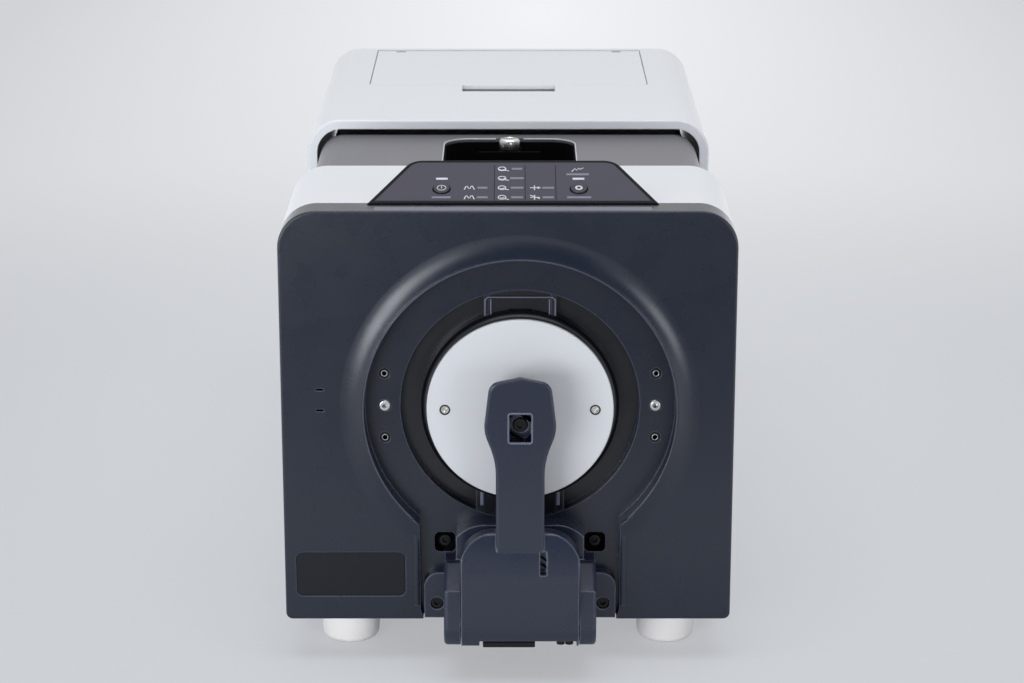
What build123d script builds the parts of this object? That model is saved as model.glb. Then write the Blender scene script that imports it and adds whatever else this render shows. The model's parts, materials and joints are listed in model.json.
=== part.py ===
from build123d import *
import os
from math import asin, atan, cos, degrees, pi, radians, sin, sqrt

os.makedirs("parts", exist_ok=True)

# Benchtop spectrophotometer with a round measuring port on its front, a sprung
# specimen arm, a transmission chamber under a sliding hood and a lid on the hood.
# Millimetres. X to the right seen from the front, Y towards the back, Z up from
# the table. Depths are measured backwards from the face of the front panel. A cut
# runs one or two millimetres past the faces that it opens.

# Case
case_width = 264.0
panel_height = 250.0
foot_height = 27.0
body_depth = 500.0
top_corner = 22.0
low_corner = 4.0
inner_corner = 1.0
seam = 0.6
panel_depth = 20.0
panel_wall = 3.5
face_round = 1.2
edge_round = 0.8
flange_back = 36.0
flange_height = 26.0
low_screw_rise = 28.0
high_screw_drop = 47.0
side_screw_radius = 2.0
side_screw_head = 4.2
side_screw_rise = 2.2
side_screw_depth = 28.0
side_screw_length = 9.0
shell_wall = 3.0
sheet = 2.5
pan_floor = 3.0
skirt_height = 68.0
housing_back = 115.5
cover_front = 100.0
cover_gap_side = 8.0
cover_gap_top = 10.3
cover_corner = 16.0
low_deck_drop = 41.0
deck_corner = 6.0
rear_inset = 7.7
pan_inset = 4.0
fit_gap = 0.05
free_gap = 0.3

# Feet
foot_radius = 18.8
foot_waist = 16.8
foot_edge = 4.0
foot_side_inset = 36.0
foot_front = 43.0
foot_back_inset = 45.0
foot_screw_radius = 2.5
foot_screw_head = 5.0
foot_screw_sink = 9.0
foot_screw_cap = 3.0

# Port in the front panel
port_side = 7.1
port_height = 158.0
ring_radius = 91.0
lip_run = 14.0
lip_rise = 4.0
lip_round = 0.8
ring_sink = 9.0
channel_radius = 70.0
channel_sink = 16.0
dish_wall = 3.0
throat_radius = 44.0
mask_radius = 54.5
mask_thickness = 2.2
mask_sink = 0.5
aperture_radius = 12.7
mask_screw_side = 43.8
mask_screw_radius = 1.6
mask_screw_head = 2.8
mask_screw_cap = 1.0
mask_round = 0.6
driver_slot = 0.8
driver_sink = 0.6
aperture_bevel = 1.6
collar_bore = 30.0
channel_gap = 12.0
collar_round = 6.0
key_width = 42.0
key_sink = 9.3
key_rib = 3.0
low_key_width = 52.0
low_key_rib = 5.0
key_step = 0.8
key_lap = 2.0
key_slot = 14.4
key_slot_rise = 2.4
key_slot_height = 2.2
gauge_side = 79.2
gauge_rise = 19.6
gauge_pin_radius = 3.5
gauge_pin_rise = 1.1
insert_radius = 3.1
insert_bore = 1.7
insert_length = 8.0

# Small features of the front panel
plate_width = 64.0
plate_height = 27.0
plate_inset = 39.0
plate_middle = 55.7
plate_sink = 1.0
slit_inset = 22.6
slit_length = 4.4
slit_height = 1.3
slit_low = 157.8
slit_pitch = 12.6

# Bracket that carries the specimen arm
recess_half = 59.0
recess_drop = 66.0
recess_nip = 1.8
nip_rise = 7.2
hinge_height = 35.0
hinge_sink = -23.0
barrel_radius = 14.0
arm_base_width = 68.6
arm_side_gap = 0.5
cheek = 9.6
bracket_face = -7.6
bracket_foot = 21.6
bracket_shoulder_drop = 92.0
bracket_top_drop = 68.6
bracket_margin = 3.2
arch_in = 0.28
arch_up = 0.62
cheek_top_drop = 90.0
cheek_lip = 6.0
cheek_lean = 4.0
cheek_drop = 8.0
cheek_back = 1.0
cheek_round = 2.2
ear_width = 12.4
ear_drop = 7.5
ear_rise = 21.0
ear_lap = 2.0
ear_corner = 8.7
ear_face = 1.5
ear_pocket = 3.5
lug_screw_side = 49.4
lug_screw_rise = 1.6
well_side = 44.4
well_drop = 85.2
well_size = 12.4
well_corner = 3.1
well_sink = 14.0
bracket_screw_radius = 2.0
bracket_screw_head = 3.6
bracket_screw_cap = 2.4
bracket_screw_drive = 1.4
well_screw_reach = 5.0
lug_screw_reach = 2.0

# Specimen arm
arm_front = -34.0
arm_thickness = 13.0
arm_split = -29.0
base_front = hinge_sink - barrel_radius
arm_rake = 17.0
neck_width = 28.0
neck_bottom_drop = 65.5
neck_top_drop = 19.7
neck_blend = 45.0
head_wide_drop = 1.6
head_width = 42.1
head_blend = 24.0
head_crown_width = 35.1
crown_drop = 3.7
shoulder_round = 7.0
crown_round = 3.0
head_top_rise = 30.8
arm_round = 1.5
base_shoulder_drop = 79.0
base_bend_drop = 92.0
base_lean = 8.0
base_bow = 2.6
base_bow_rise = 2.0
base_back_drop = 4.0
slot_width = 3.8
slot_length = 13.5
slot_drop = 82.0
slot_depth = 7.0
slot_inset = 0.6
window_width = 12.7
window_height = 16.6
window_sink = 7.6
hinge_pin_radius = 3.0
hinge_pin_sink = 1.0
hinge_pin_bevel = 0.6
bush_radius = 5.0
bush_length = 12.0
running_gap = 0.05
spring_bay = 26.0
spring_end_gap = 2.0
bay_shift = 4.0
bay_deep = 8.0
bar_left = -21.8
bar_right = 8.8
notch_left = -23.8
notch_right = 33.2
notch_height = 6.5
bar_depth = 12.0
bar_height = 3.0
bar_corner = 1.0
adjuster_radius = 2.4
adjuster_side = 23.9
adjuster_pitch = 5.0

# Presser pad in the head of the arm
pad_radius = 17.0
pad_thickness = 4.0
pad_bevel = 1.0
pad_stem_radius = 3.0
pad_cap_radius = 4.2
pad_cap_height = 2.4
pad_cap_drive = 1.9
guide_radius = 9.0
guide_length = 9.0
cup_wall = 2.0
cup_overlap = 2.0
spring_sleeve = 0.9
spring_clear = 0.8

# Control panel on top
control_side = 3.0
control_start = 16.0
control_rise = 0.8
control_tilt = 20.0
control_length = 45.5
control_front_width = 168.0
control_back_width = 119.0
control_corner = 11.0
control_round = 0.8
control_wall = 2.0
control_skin = 1.2
control_border = 2.6
legend_sheet = 0.8
button_radius = 4.7
button_rise = 0.9
button_drop = 1.9
button_travel = 0.8
button_stem = 1.5
button_reach = 14.8
power_side = -41.4
measure_side = 38.1
light_reach = 25.4
light_length = 6.8
light_width = 1.8
board_drop = 4.4
board_sheet = 1.2
board_half = 50.0
board_start = 9.0
board_end = 40.0
board_peg_inset = 3.0
hatch_front = 22.5
hatch_back = 58.0
switch_size = 6.0
switch_height = 0.7
icon_height = 0.25
icon_row = 10.0
icon_first_row = 6.1
icon_left = -21.6
icon_middle = -1.8
icon_right = 16.3
icon_width = 12.0
icon_depth = 6.0
icon_corner = 1.5

# Hood
hood_front = 247.0
rim_depth = 6.0
rim_thickness = 6.2
rim_round = 1.6
hood_bottom_gap = 1.0
hood_back_height = 37.0
lid_side_inset = 35.5
lid_length = 128.1
lid_back_inset = 9.4
lid_gap = 0.5
lid_back_gap = 2.2
lid_corner = 5.0
lid_round = 0.4
lid_back_round = 1.8
scoop_width = 64.0
scoop_length = 21.5
scoop_sink = 5.0
scoop_wall = 1.5
scoop_lead = 5.4
scoop_lead_sink = 3.0
tray_shelf = 19.0
tray_back_shelf = 12.6
tray_depth = 36.0
tray_wall = 2.0
tray_inset = 1.5
tray_flange = 7.0
bay_sink = 5.4
lid_pin_radius = 1.5
knuckle_radius = 2.8
knuckle_side = 70.5
knuckle_length = 11.0
knuckle_web = 2.0
pin_boss = 6.0
lid_axis_drop = 3.7
lid_axis_inset = 2.1

# Rails that the hood slides on
rail_height = 10.0
rail_low = 99.0
rail_width = 3.6
groove_height = 4.0
groove_depth = 2.0
runner_length = 40.0
runner_inset = 10.0

# Transmission chamber
chamber_side = 0.9
chamber_width = 85.4
chamber_front = 150.0
chamber_back = 238.0
chamber_corner = 17.0
chamber_floor = 112.0
chamber_wall = 1.5
beam_radius = 16.0
thumb_radius = 6.75
thumb_clear = 1.2
thumb_height = 7.4
thumb_top = 268.4
thumb_reach = 7.0
thumb_stem = 2.5
thumb_stem_length = 9.0
shelf_wall = 3.0
shelf_depth = 13.5
thumb_flutes = 36
flute_offset = 0.25
flute_radius = 0.6
holder_sheet = 2.0
holder_half = 20.0
holder_foot = 6.0
holder_ring = 2.0

# Optics
sphere_inner = 58.0
sphere_wall = 4.0
sphere_front_gap = 9.3
sphere_flange = 68.0
flange_half = 3.0
neck_radius = 18.0
aperture_clear = 1.0
stand_half = 42.0
stand_plate = 4.0
stand_offset = 12.0
stand_drop = 40.0
lamp_length = 39.0
lamp_depth = 34.0
lamp_height = 36.0
lamp_clear = 3.0
lamp_round = 3.0
lamp_grip = 2.0
deck_side_gap = 20.0
deck_leg = 47.6
deck_rail = 15.6
deck_height = 108.0
deck_front = 146.0
deck_supply_gap = 2.0
barrel_inner = 17.0
barrel_outer = 20.0
lens_barrel_length = 24.0
lens_thickness = 7.0
lens_bulge = 3.0
spectro_width = 150.0
spectro_height = 88.0
spectro_length = 108.0
spectro_bevel = 8.0
spectro_round = 2.0

# Electronics and rear panel
standoff_height = 20.0
standoff_radius = 3.0
standoff_inset = 5.0
board_side_gap = 20.0
main_board_front = 160.0
main_board_length = 170.0
main_board_sheet = 1.6
chip_height = 3.0
large_chip = 28.0
large_chip_places = [(-30.0, 60.0), (34.0, 92.0)]
small_chip = 9.0
small_chip_pitch = 16.0
small_chip_place = (-58.0, 120.0)
header_length = 60.0
header_width = 7.0
header_side = 20.0
header_inset = 9.0
supply_width = 90.0
supply_length = 80.0
supply_height = 52.0
supply_side_gap = 6.5
supply_back_inset = 34.0
supply_round = 2.0
vent_pitch = 7.0
vent_count = 9
vent_length = 46.0
vent_width = 3.0
rear_sheet = 3.0
rear_screw_radius = 1.6
rear_screw_cap = 1.6
rear_screw_head = 3.2
rear_screw_reach = 6.0
rear_screw_inset = 8.0
rear_screw_low = 9.0
rear_screw_high = 12.0
guard_pitch = 6.5
guard_wire = 1.6
guard_start = 4.4
guard_rings = 3
flange_sheet = 1.6
fan_inset = 64.0
fan_middle = 185.0
fan_size = 60.0
fan_depth = 25.0
fan_bore = 28.0
fan_hub = 11.0
fan_blades = 7
fan_blade_tip = 26.6
blade_chord = 17.6
blade_pitch = 38.0
blade_sheet = 1.3
fan_spindle = 2.0
fan_corner = 4.0
fan_strut = 4.0
spindle_gap = 5.0
hub_gap = 4.0
inlet_inset = 40.0
socket_height = 66.0
inlet_width = 27.0
inlet_height = 20.0
inlet_depth = 22.0
inlet_flange = 4.0
inlet_corner = 2.0
inlet_side_wall = 1.5
inlet_top_wall = 2.0
inlet_back = 3.0
contact_pitch = 7.0
contact_low = 1.0
contact_high = 3.0
contact_width = 2.0
contact_height = 4.0
contact_gap = 3.0
switch_pitch = 44.0
switch_flange = 1.5
switch_corner = 1.0
switch_back = 2.0
rocker_width = 13.0
rocker_height = 19.0
rocker_frame = 2.5
rocker_depth = 14.0
rocker_pivot = 4.0
rocker_proud = 2.0
rocker_reach = 8.6
rocker_tilt = 10.0
rocker_pin = 0.9
rocker_pin_reach = 1.5
rocker_narrow = 5.2
usb_side = 26.0
usb_width = 12.0
usb_height = 10.9
usb_depth = 14.0
usb_mouth = 5.0
usb_proud = 0.6
usb_wall = 1.0
usb_back = 2.0
usb_tongue = 2.7

# Places worked out from the sizes above
arm_reach = -base_front
overall_depth = body_depth + arm_reach
face_y = arm_reach - overall_depth / 2
half_width = case_width / 2
case_low = foot_height
case_top = foot_height + panel_height
skirt_top = case_low + skirt_height
cover_half = half_width - cover_gap_side
cover_top = case_top - cover_gap_top
low_deck = case_top - low_deck_drop
floor_top = case_low + pan_floor
housing_front = panel_depth + seam
cover_step = hood_front + sheet
rear_face = body_depth - rear_inset
arm_half = arm_base_width / 2
cheek_inner = arm_half + arm_side_gap
cheek_outer = cheek_inner + cheek
inner_half = half_width - shell_wall
hood_low = skirt_top + hood_bottom_gap
sphere_outer = sphere_inner + sphere_wall
mask_back = mask_sink + mask_thickness
collar_radius = channel_radius - channel_gap
sphere_middle = mask_back + sphere_front_gap + sphere_outer
lip_radius = ring_radius + lip_run
lip_curve = (lip_run ** 2 + lip_rise ** 2) / (2 * lip_rise)
lip_turn = degrees(asin(lip_run / lip_curve))
deck_top = deck_height + sheet
neck_bottom = port_height - neck_bottom_drop
neck_top = port_height - neck_top_drop
base_shoulder = port_height - base_shoulder_drop
base_bend = port_height - base_bend_drop
recess_top = port_height - recess_drop
well_height = port_height - well_drop
lid_width = case_width - 2 * lid_side_inset
lid_back = body_depth - lid_back_inset
lid_front = lid_back - lid_length
tray_front = lid_front + tray_shelf
tray_back = lid_back - tray_back_shelf
supply_front = body_depth - supply_back_inset - supply_length
supply_side = supply_side_gap + supply_width / 2 + sheet - cover_half
deck_half = cover_half - deck_side_gap
main_board_half = deck_half - board_side_gap
deck_back = supply_front - deck_supply_gap
fan_side = cover_half - fan_inset
inlet_side = inlet_inset - cover_half
switch_side = inlet_side + switch_pitch
thumb_depth = chamber_back - thumb_reach
shelf_top = thumb_top - thumb_height - holder_sheet
rear_screw_points = [
    (side * (cover_half - rear_screw_inset), height)
    for side in (-1, 1)
    for height in (floor_top + rear_screw_low, low_deck - rear_screw_high)
]


def station(depth):
    """An upright plane at a depth behind the front panel's face, facing the front."""
    return Plane.XZ.offset(-(face_y + depth))


def port_station(depth):
    """The same, with its origin on the axis of the measuring port."""
    return Plane(origin=(port_side, face_y + depth, port_height), x_dir=(1, 0, 0), z_dir=(0, -1, 0))


port_section = Plane(origin=(port_side, face_y, port_height), x_dir=(1, 0, 0), z_dir=(0, 0, 1))
port_axis = Axis((port_side, face_y, port_height), (0, 1, 0))
tilt = radians(control_tilt)
control_plane = Plane(
    origin=(control_side, face_y + control_start, case_top + control_rise),
    x_dir=(1, 0, 0),
    z_dir=(0, -sin(tilt), cos(tilt)),
)


def arch(width, low, high, corner, foot_corner=0.0):
    """A rectangle with rounded top corners, and rounded lower ones if wanted."""
    with Locations((0, (low + high) / 2)):
        Rectangle(width, high - low)
    fillet(vertices().group_by(Axis.Y)[-1], corner)
    if foot_corner > 0:
        fillet(vertices().group_by(Axis.Y)[0], foot_corner)


def save(builder, name):
    """Label a finished piece and write it under its own name."""
    builder.part.label = name
    export_step(builder.part, "parts/" + name + ".step")


# Front panel: a deep moulded shell with the port dish and the bracket recess
gauge_points = [(side * gauge_side, rise * gauge_rise) for side in (-1, 1) for rise in (-1, 1)]
pin_points = [(-gauge_side, 0), (gauge_side, 0)]
well_points = [(port_side + side * well_side, well_height) for side in (-1, 1)]
lug_points = [(port_side + side * lug_screw_side, hinge_height + lug_screw_rise) for side in (-1, 1)]
plate_side = plate_inset - half_width
slit_side = slit_inset - half_width
side_screw_heights = (case_low + low_screw_rise, case_top - high_screw_drop)
flange_middle = (panel_depth + flange_back) / 2

with BuildPart() as front_panel:
    with BuildSketch(station(0)):
        arch(case_width, case_low, case_top, top_corner, low_corner)
    extrude(amount=-panel_depth)
    fillet(front_panel.faces().sort_by(Axis.Y)[0].edges(), face_round)
    with BuildSketch(station(panel_wall)):
        arch(case_width - 2 * panel_wall, case_low + panel_wall, case_top - panel_wall,
             top_corner - panel_wall, inner_corner)
    extrude(amount=panel_wall - panel_depth, mode=Mode.SUBTRACT)
    with BuildSketch(port_section):
        with BuildLine():
            Polyline(
                (0, face_round),
                (lip_radius + dish_wall, face_round),
                (lip_radius + dish_wall, panel_wall),
                (ring_radius + dish_wall, ring_sink + dish_wall),
                (channel_radius + dish_wall, ring_sink + dish_wall),
                (channel_radius + dish_wall, channel_sink + dish_wall),
                (0, channel_sink + dish_wall),
                close=True,
            )
        make_face()
    revolve(axis=port_axis)
    with BuildSketch(port_section):
        with BuildLine():
            flare = JernArc((lip_radius, 0), (-1, 0), lip_curve, lip_turn)
            Polyline(flare @ 1, (ring_radius, face_round), (lip_radius, face_round), flare @ 0)
        make_face()
        fillet(vertices().group_by(Axis.Y)[0], lip_round)
    revolve(axis=port_axis)
    with BuildSketch(station(panel_wall - 1)):
        with Locations((port_side, (case_low + recess_top) / 2)):
            Rectangle(2 * (recess_half + dish_wall), recess_top - case_low)
    extrude(amount=panel_wall - 1 - ring_sink - dish_wall)
    with BuildSketch(station(ring_sink + 1)):
        with Locations(*well_points):
            Rectangle(well_size + 2 * dish_wall, well_size + 2 * dish_wall)
        with Locations(*lug_points):
            Circle(bracket_screw_radius + dish_wall)
    extrude(amount=ring_sink + 1 - well_sink - dish_wall)
    with BuildSketch(port_station(ring_sink + 1)):
        with Locations(*gauge_points, *pin_points):
            Circle(gauge_pin_radius + dish_wall)
    extrude(amount=1 - insert_length)
    with BuildSketch(port_section):
        with BuildLine():
            Polyline(
                (0, -1),
                (ring_radius, -1),
                (ring_radius, ring_sink),
                (channel_radius, ring_sink),
                (channel_radius, channel_sink),
                (0, channel_sink),
                close=True,
            )
        make_face()
    revolve(axis=port_axis, mode=Mode.SUBTRACT)
    with BuildSketch(station(-lip_rise - 1)):
        with BuildLine():
            Polyline(
                (port_side - recess_half, recess_top),
                (port_side - recess_half, case_low + nip_rise),
                (port_side - recess_half + recess_nip, case_low - 1),
                (port_side + recess_half - recess_nip, case_low - 1),
                (port_side + recess_half, case_low + nip_rise),
                (port_side + recess_half, recess_top),
                close=True,
            )
        make_face()
    extrude(amount=-lip_rise - ring_sink - 1, mode=Mode.SUBTRACT)
    with BuildSketch(port_station(channel_sink - 1)):
        Circle(throat_radius)
    extrude(amount=-dish_wall - 2, mode=Mode.SUBTRACT)
    with BuildSketch(station(ring_sink - 1)):
        with Locations(*well_points):
            RectangleRounded(well_size, well_size, well_corner)
    extrude(amount=ring_sink - 1 - well_sink, mode=Mode.SUBTRACT)
    with BuildSketch(station(ring_sink - 1)):
        with Locations(*well_points, *lug_points):
            Circle(bracket_screw_radius + fit_gap)
    extrude(amount=ring_sink - 2 - well_sink - dish_wall, mode=Mode.SUBTRACT)
    with BuildSketch(port_station(ring_sink - 1)):
        with Locations(*gauge_points):
            Circle(insert_radius + fit_gap)
        with Locations(*pin_points):
            Circle(gauge_pin_radius + fit_gap)
    extrude(amount=-insert_length - dish_wall, mode=Mode.SUBTRACT)
    with BuildSketch(station(-1)):
        with Locations((plate_side, plate_middle)):
            RectangleRounded(plate_width + 2 * free_gap, plate_height + 2 * free_gap, low_corner)
    extrude(amount=-plate_sink - 1, mode=Mode.SUBTRACT)
    with BuildSketch(station(-1)):
        with Locations((slit_side, slit_low), (slit_side, slit_low + slit_pitch)):
            SlotOverall(slit_length, slit_height)
    extrude(amount=-panel_wall - 2, mode=Mode.SUBTRACT)
    for side in (-1, 1):
        with BuildSketch(Plane.YZ.offset(side * (inner_half - free_gap))):
            with Locations(*[(face_y + flange_middle, height) for height in side_screw_heights]):
                Rectangle(flange_back - panel_depth + 2 * sheet, flange_height)
        extrude(amount=-side * sheet)
    with BuildSketch(Plane.YZ):
        with Locations(*[(face_y + side_screw_depth, height) for height in side_screw_heights]):
            Circle(side_screw_radius + fit_gap)
    extrude(amount=half_width, both=True, mode=Mode.SUBTRACT)
save(front_panel, "front_panel")

# A thin sunk plate low on the left, bare
with BuildPart() as label_plate:
    with BuildSketch(station(plate_sink)):
        with Locations((plate_side, plate_middle)):
            RectangleRounded(plate_width, plate_height, low_corner - free_gap)
    extrude(amount=plate_sink - free_gap)
save(label_plate, "label_plate")

# Base pan: a folded tray that everything inside stands on
foot_points = [
    (side * (half_width - foot_side_inset), face_y + depth)
    for depth in (foot_front, body_depth - foot_back_inset)
    for side in (-1, 1)
]
pan_length = body_depth - pan_inset - housing_front

with BuildPart() as base_pan:
    with BuildSketch(station(housing_front)):
        with Locations((0, case_low + (skirt_height - seam) / 2)):
            Rectangle(case_width, skirt_height - seam)
        fillet(vertices().group_by(Axis.Y)[0], low_corner)
    extrude(amount=-pan_length)
    with BuildSketch(station(housing_front - 1)):
        with Locations((0, floor_top + skirt_height / 2)):
            Rectangle(2 * inner_half, skirt_height)
    extrude(amount=-pan_length - 2, mode=Mode.SUBTRACT)
    with BuildSketch(Plane.XY.offset(case_low - 1)):
        with Locations(*foot_points):
            Circle(foot_screw_radius + fit_gap)
        with Locations((supply_side, face_y + supply_front + supply_length / 2)):
            with GridLocations(vent_pitch, 0, vent_count, 1):
                SlotOverall(vent_length, vent_width, rotation=90)
    extrude(amount=pan_floor + 2, mode=Mode.SUBTRACT)
    with BuildSketch(Plane.YZ):
        with Locations((face_y + side_screw_depth, side_screw_heights[0])):
            Circle(side_screw_radius + fit_gap)
    extrude(amount=case_width, both=True, mode=Mode.SUBTRACT)
save(base_pan, "base_pan")

# Four white feet, each held by a screw from below
foot_taper = degrees(atan((foot_radius - foot_waist) / foot_height))

with BuildPart() as feet:
    with BuildSketch():
        with Locations(*foot_points):
            Circle(foot_waist)
    extrude(amount=foot_height, taper=-foot_taper)
    fillet(feet.edges().group_by(Axis.Z)[0], foot_edge)
    with Locations(*foot_points):
        CounterBoreHole(
            radius=foot_screw_radius + fit_gap,
            counter_bore_radius=foot_screw_head + free_gap,
            counter_bore_depth=foot_height - foot_screw_sink,
        )
save(feet, "feet")

with BuildPart() as foot_screws:
    with BuildSketch(Plane.XY.offset(foot_screw_sink)):
        with Locations(*foot_points):
            Circle(foot_screw_head)
    extrude(amount=-foot_screw_cap)
    with BuildSketch(Plane.XY.offset(foot_screw_sink)):
        with Locations(*foot_points):
            Circle(foot_screw_radius)
    extrude(amount=floor_top - foot_screw_sink)
save(foot_screws, "foot_screws")

# White front housing behind the panel, with a bulkhead lip at its back
with BuildPart() as front_housing:
    with BuildSketch(station(housing_front)):
        arch(case_width, skirt_top, case_top, top_corner)
    extrude(amount=housing_front - housing_back)
    fillet(front_housing.faces().sort_by(Axis.Y)[0].edges(), edge_round)
    fillet(front_housing.faces().sort_by(Axis.Y)[-1].edges(), edge_round)
    with BuildSketch(station(housing_front - 1)):
        arch(2 * inner_half, skirt_top - shell_wall, case_top - shell_wall, top_corner - shell_wall)
    extrude(amount=housing_front - 1 - housing_back + shell_wall, mode=Mode.SUBTRACT)
    with BuildSketch(station(housing_back - shell_wall - 1)):
        arch(2 * (cover_half + free_gap), skirt_top - shell_wall, cover_top + free_gap, cover_corner)
    extrude(amount=-shell_wall - 2, mode=Mode.SUBTRACT)
    with BuildSketch(Plane.XY.offset(case_top - shell_wall - 1)):
        with Locations((control_side, face_y + (hatch_front + hatch_back) / 2)):
            Rectangle(2 * (board_half + free_gap), hatch_back - hatch_front)
    extrude(amount=shell_wall + 2, mode=Mode.SUBTRACT)
    with BuildSketch(Plane.YZ):
        with Locations((face_y + side_screw_depth, side_screw_heights[1])):
            Circle(side_screw_radius + fit_gap)
    extrude(amount=case_width, both=True, mode=Mode.SUBTRACT)
save(front_housing, "front_housing")

with BuildPart() as side_screws:
    for side in (-1, 1):
        with BuildSketch(Plane.YZ.offset(side * half_width)):
            with Locations(*[(face_y + side_screw_depth, height) for height in side_screw_heights]):
                Circle(side_screw_head)
        extrude(amount=side * side_screw_rise)
        with BuildSketch(Plane.YZ.offset(side * half_width)):
            with Locations(*[(face_y + side_screw_depth, height) for height in side_screw_heights]):
                Circle(side_screw_radius)
        extrude(amount=-side * side_screw_length)
save(side_screws, "side_screws")

# Dark chamber cover in front and the lower cover behind it
with BuildPart() as chamber_cover:
    with BuildSketch(station(cover_front)):
        arch(2 * cover_half, floor_top + fit_gap, cover_top, cover_corner)
    extrude(amount=cover_front - cover_step)
    with BuildSketch(station(cover_front - 1)):
        arch(2 * (cover_half - sheet), floor_top - 1, cover_top - sheet, cover_corner - sheet)
    extrude(amount=cover_front - cover_step - 2, mode=Mode.SUBTRACT)
    with BuildSketch(station(cover_step - sheet)):
        arch(2 * cover_half - sheet, low_deck - 2 * sheet, cover_top - sheet / 2, cover_corner - sheet / 2)
    extrude(amount=-sheet)
    with BuildSketch(Plane.XY.offset(cover_top - sheet - 1)):
        with Locations((chamber_side, face_y + (chamber_front + chamber_back) / 2)):
            RectangleRounded(chamber_width, chamber_back - chamber_front, chamber_corner)
        with Locations((chamber_side, face_y + thumb_depth)):
            Circle(thumb_radius + thumb_clear)
    extrude(amount=sheet + 2, mode=Mode.SUBTRACT)
save(chamber_cover, "chamber_cover")

with BuildPart() as rear_cover:
    with BuildSketch(station(cover_step + seam)):
        arch(2 * cover_half, floor_top + fit_gap, low_deck, deck_corner)
    extrude(amount=cover_step + seam - rear_face)
    with BuildSketch(station(cover_step)):
        arch(2 * (cover_half - sheet), floor_top - 1, low_deck - sheet, deck_corner - sheet)
    extrude(amount=cover_step - rear_face - 1, mode=Mode.SUBTRACT)
save(rear_cover, "rear_cover")

# Rails on both sides of the covers, and the hood's runners in their grooves
rail_front = housing_back + seam
rail_middle = rail_low + rail_height / 2

with BuildPart() as slide_rails:
    for side in (-1, 1):
        with BuildSketch(Plane.YZ.offset(side * cover_half)):
            with Locations((face_y + (rail_front + rear_face) / 2, rail_middle)):
                Rectangle(rear_face - rail_front, rail_height)
        extrude(amount=side * rail_width)
        with BuildSketch(Plane.YZ.offset(side * (cover_half + rail_width))):
            with Locations((face_y + (rail_front + rear_face) / 2, rail_middle)):
                Rectangle(body_depth, groove_height)
        extrude(amount=-side * groove_depth, mode=Mode.SUBTRACT)
save(slide_rails, "slide_rails")

runner_places = (hood_front + rim_depth + runner_inset, rear_face - runner_inset - runner_length)

with BuildPart() as hood_runners:
    for side in (-1, 1):
        for place in runner_places:
            middle = (face_y + place + runner_length / 2, rail_middle)
            with BuildSketch(Plane.YZ.offset(side * inner_half)):
                with Locations(middle):
                    Rectangle(runner_length, rail_height)
            extrude(amount=-side * (inner_half - cover_half - rail_width - free_gap))
            with BuildSketch(Plane.YZ.offset(side * (cover_half + rail_width + free_gap))):
                with Locations(middle):
                    Rectangle(runner_length, groove_height - 2 * free_gap)
            extrude(amount=-side * (groove_depth - free_gap))
save(hood_runners, "hood_runners")

# Rear panel with the sockets, the switch and the fan opening
with BuildPart() as rear_panel:
    with BuildSketch(station(rear_face + free_gap)):
        arch(2 * cover_half, floor_top + fit_gap, low_deck, deck_corner)
        with Locations((inlet_side, socket_height)):
            Rectangle(inlet_width + 2 * fit_gap, inlet_height + 2 * fit_gap, mode=Mode.SUBTRACT)
        with Locations((switch_side, socket_height)):
            Rectangle(
                rocker_width + 2 * rocker_frame + 2 * fit_gap,
                rocker_height + 2 * rocker_frame + 2 * fit_gap,
                mode=Mode.SUBTRACT,
            )
        with Locations((usb_side, socket_height)):
            Rectangle(usb_width + 2 * fit_gap, usb_height + 2 * fit_gap, mode=Mode.SUBTRACT)
        with Locations((fan_side, fan_middle)):
            Circle(fan_bore, mode=Mode.SUBTRACT)
        with Locations(*rear_screw_points):
            Circle(rear_screw_radius + fit_gap, mode=Mode.SUBTRACT)
        with Locations((-fan_side, fan_middle)):
            with GridLocations(0, vent_pitch, 1, vent_count):
                SlotOverall(vent_length, vent_width, mode=Mode.SUBTRACT)
    extrude(amount=-rear_sheet)
    with BuildSketch(station(rear_face + free_gap)):
        with Locations((fan_side, fan_middle)):
            for ring in range(1, guard_rings + 1):
                Circle(guard_start + ring * guard_pitch)
                Circle(guard_start + ring * guard_pitch - guard_wire, mode=Mode.SUBTRACT)
            Rectangle(2 * fan_bore + guard_wire, guard_wire)
            Rectangle(guard_wire, 2 * fan_bore + guard_wire)
    extrude(amount=-guard_wire)
save(rear_panel, "rear_panel")

with BuildPart() as rear_screws:
    with BuildSketch(station(rear_face + free_gap + rear_sheet)):
        with Locations(*rear_screw_points):
            Circle(rear_screw_head)
    extrude(amount=-rear_screw_cap)
    with BuildSketch(station(rear_face + free_gap + rear_sheet)):
        with Locations(*rear_screw_points):
            Circle(rear_screw_radius)
    extrude(amount=rear_sheet + free_gap + rear_screw_reach)
save(rear_screws, "rear_screws")

# Hood: slides forwards over the chamber, open underneath and at its front
hood_length = body_depth - hood_front
hood_back_low = case_top - hood_back_height
lid_middle = face_y + (lid_front + lid_back) / 2
hole_back = lid_back + lid_back_gap
scoop_back = lid_front - lid_gap

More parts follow.
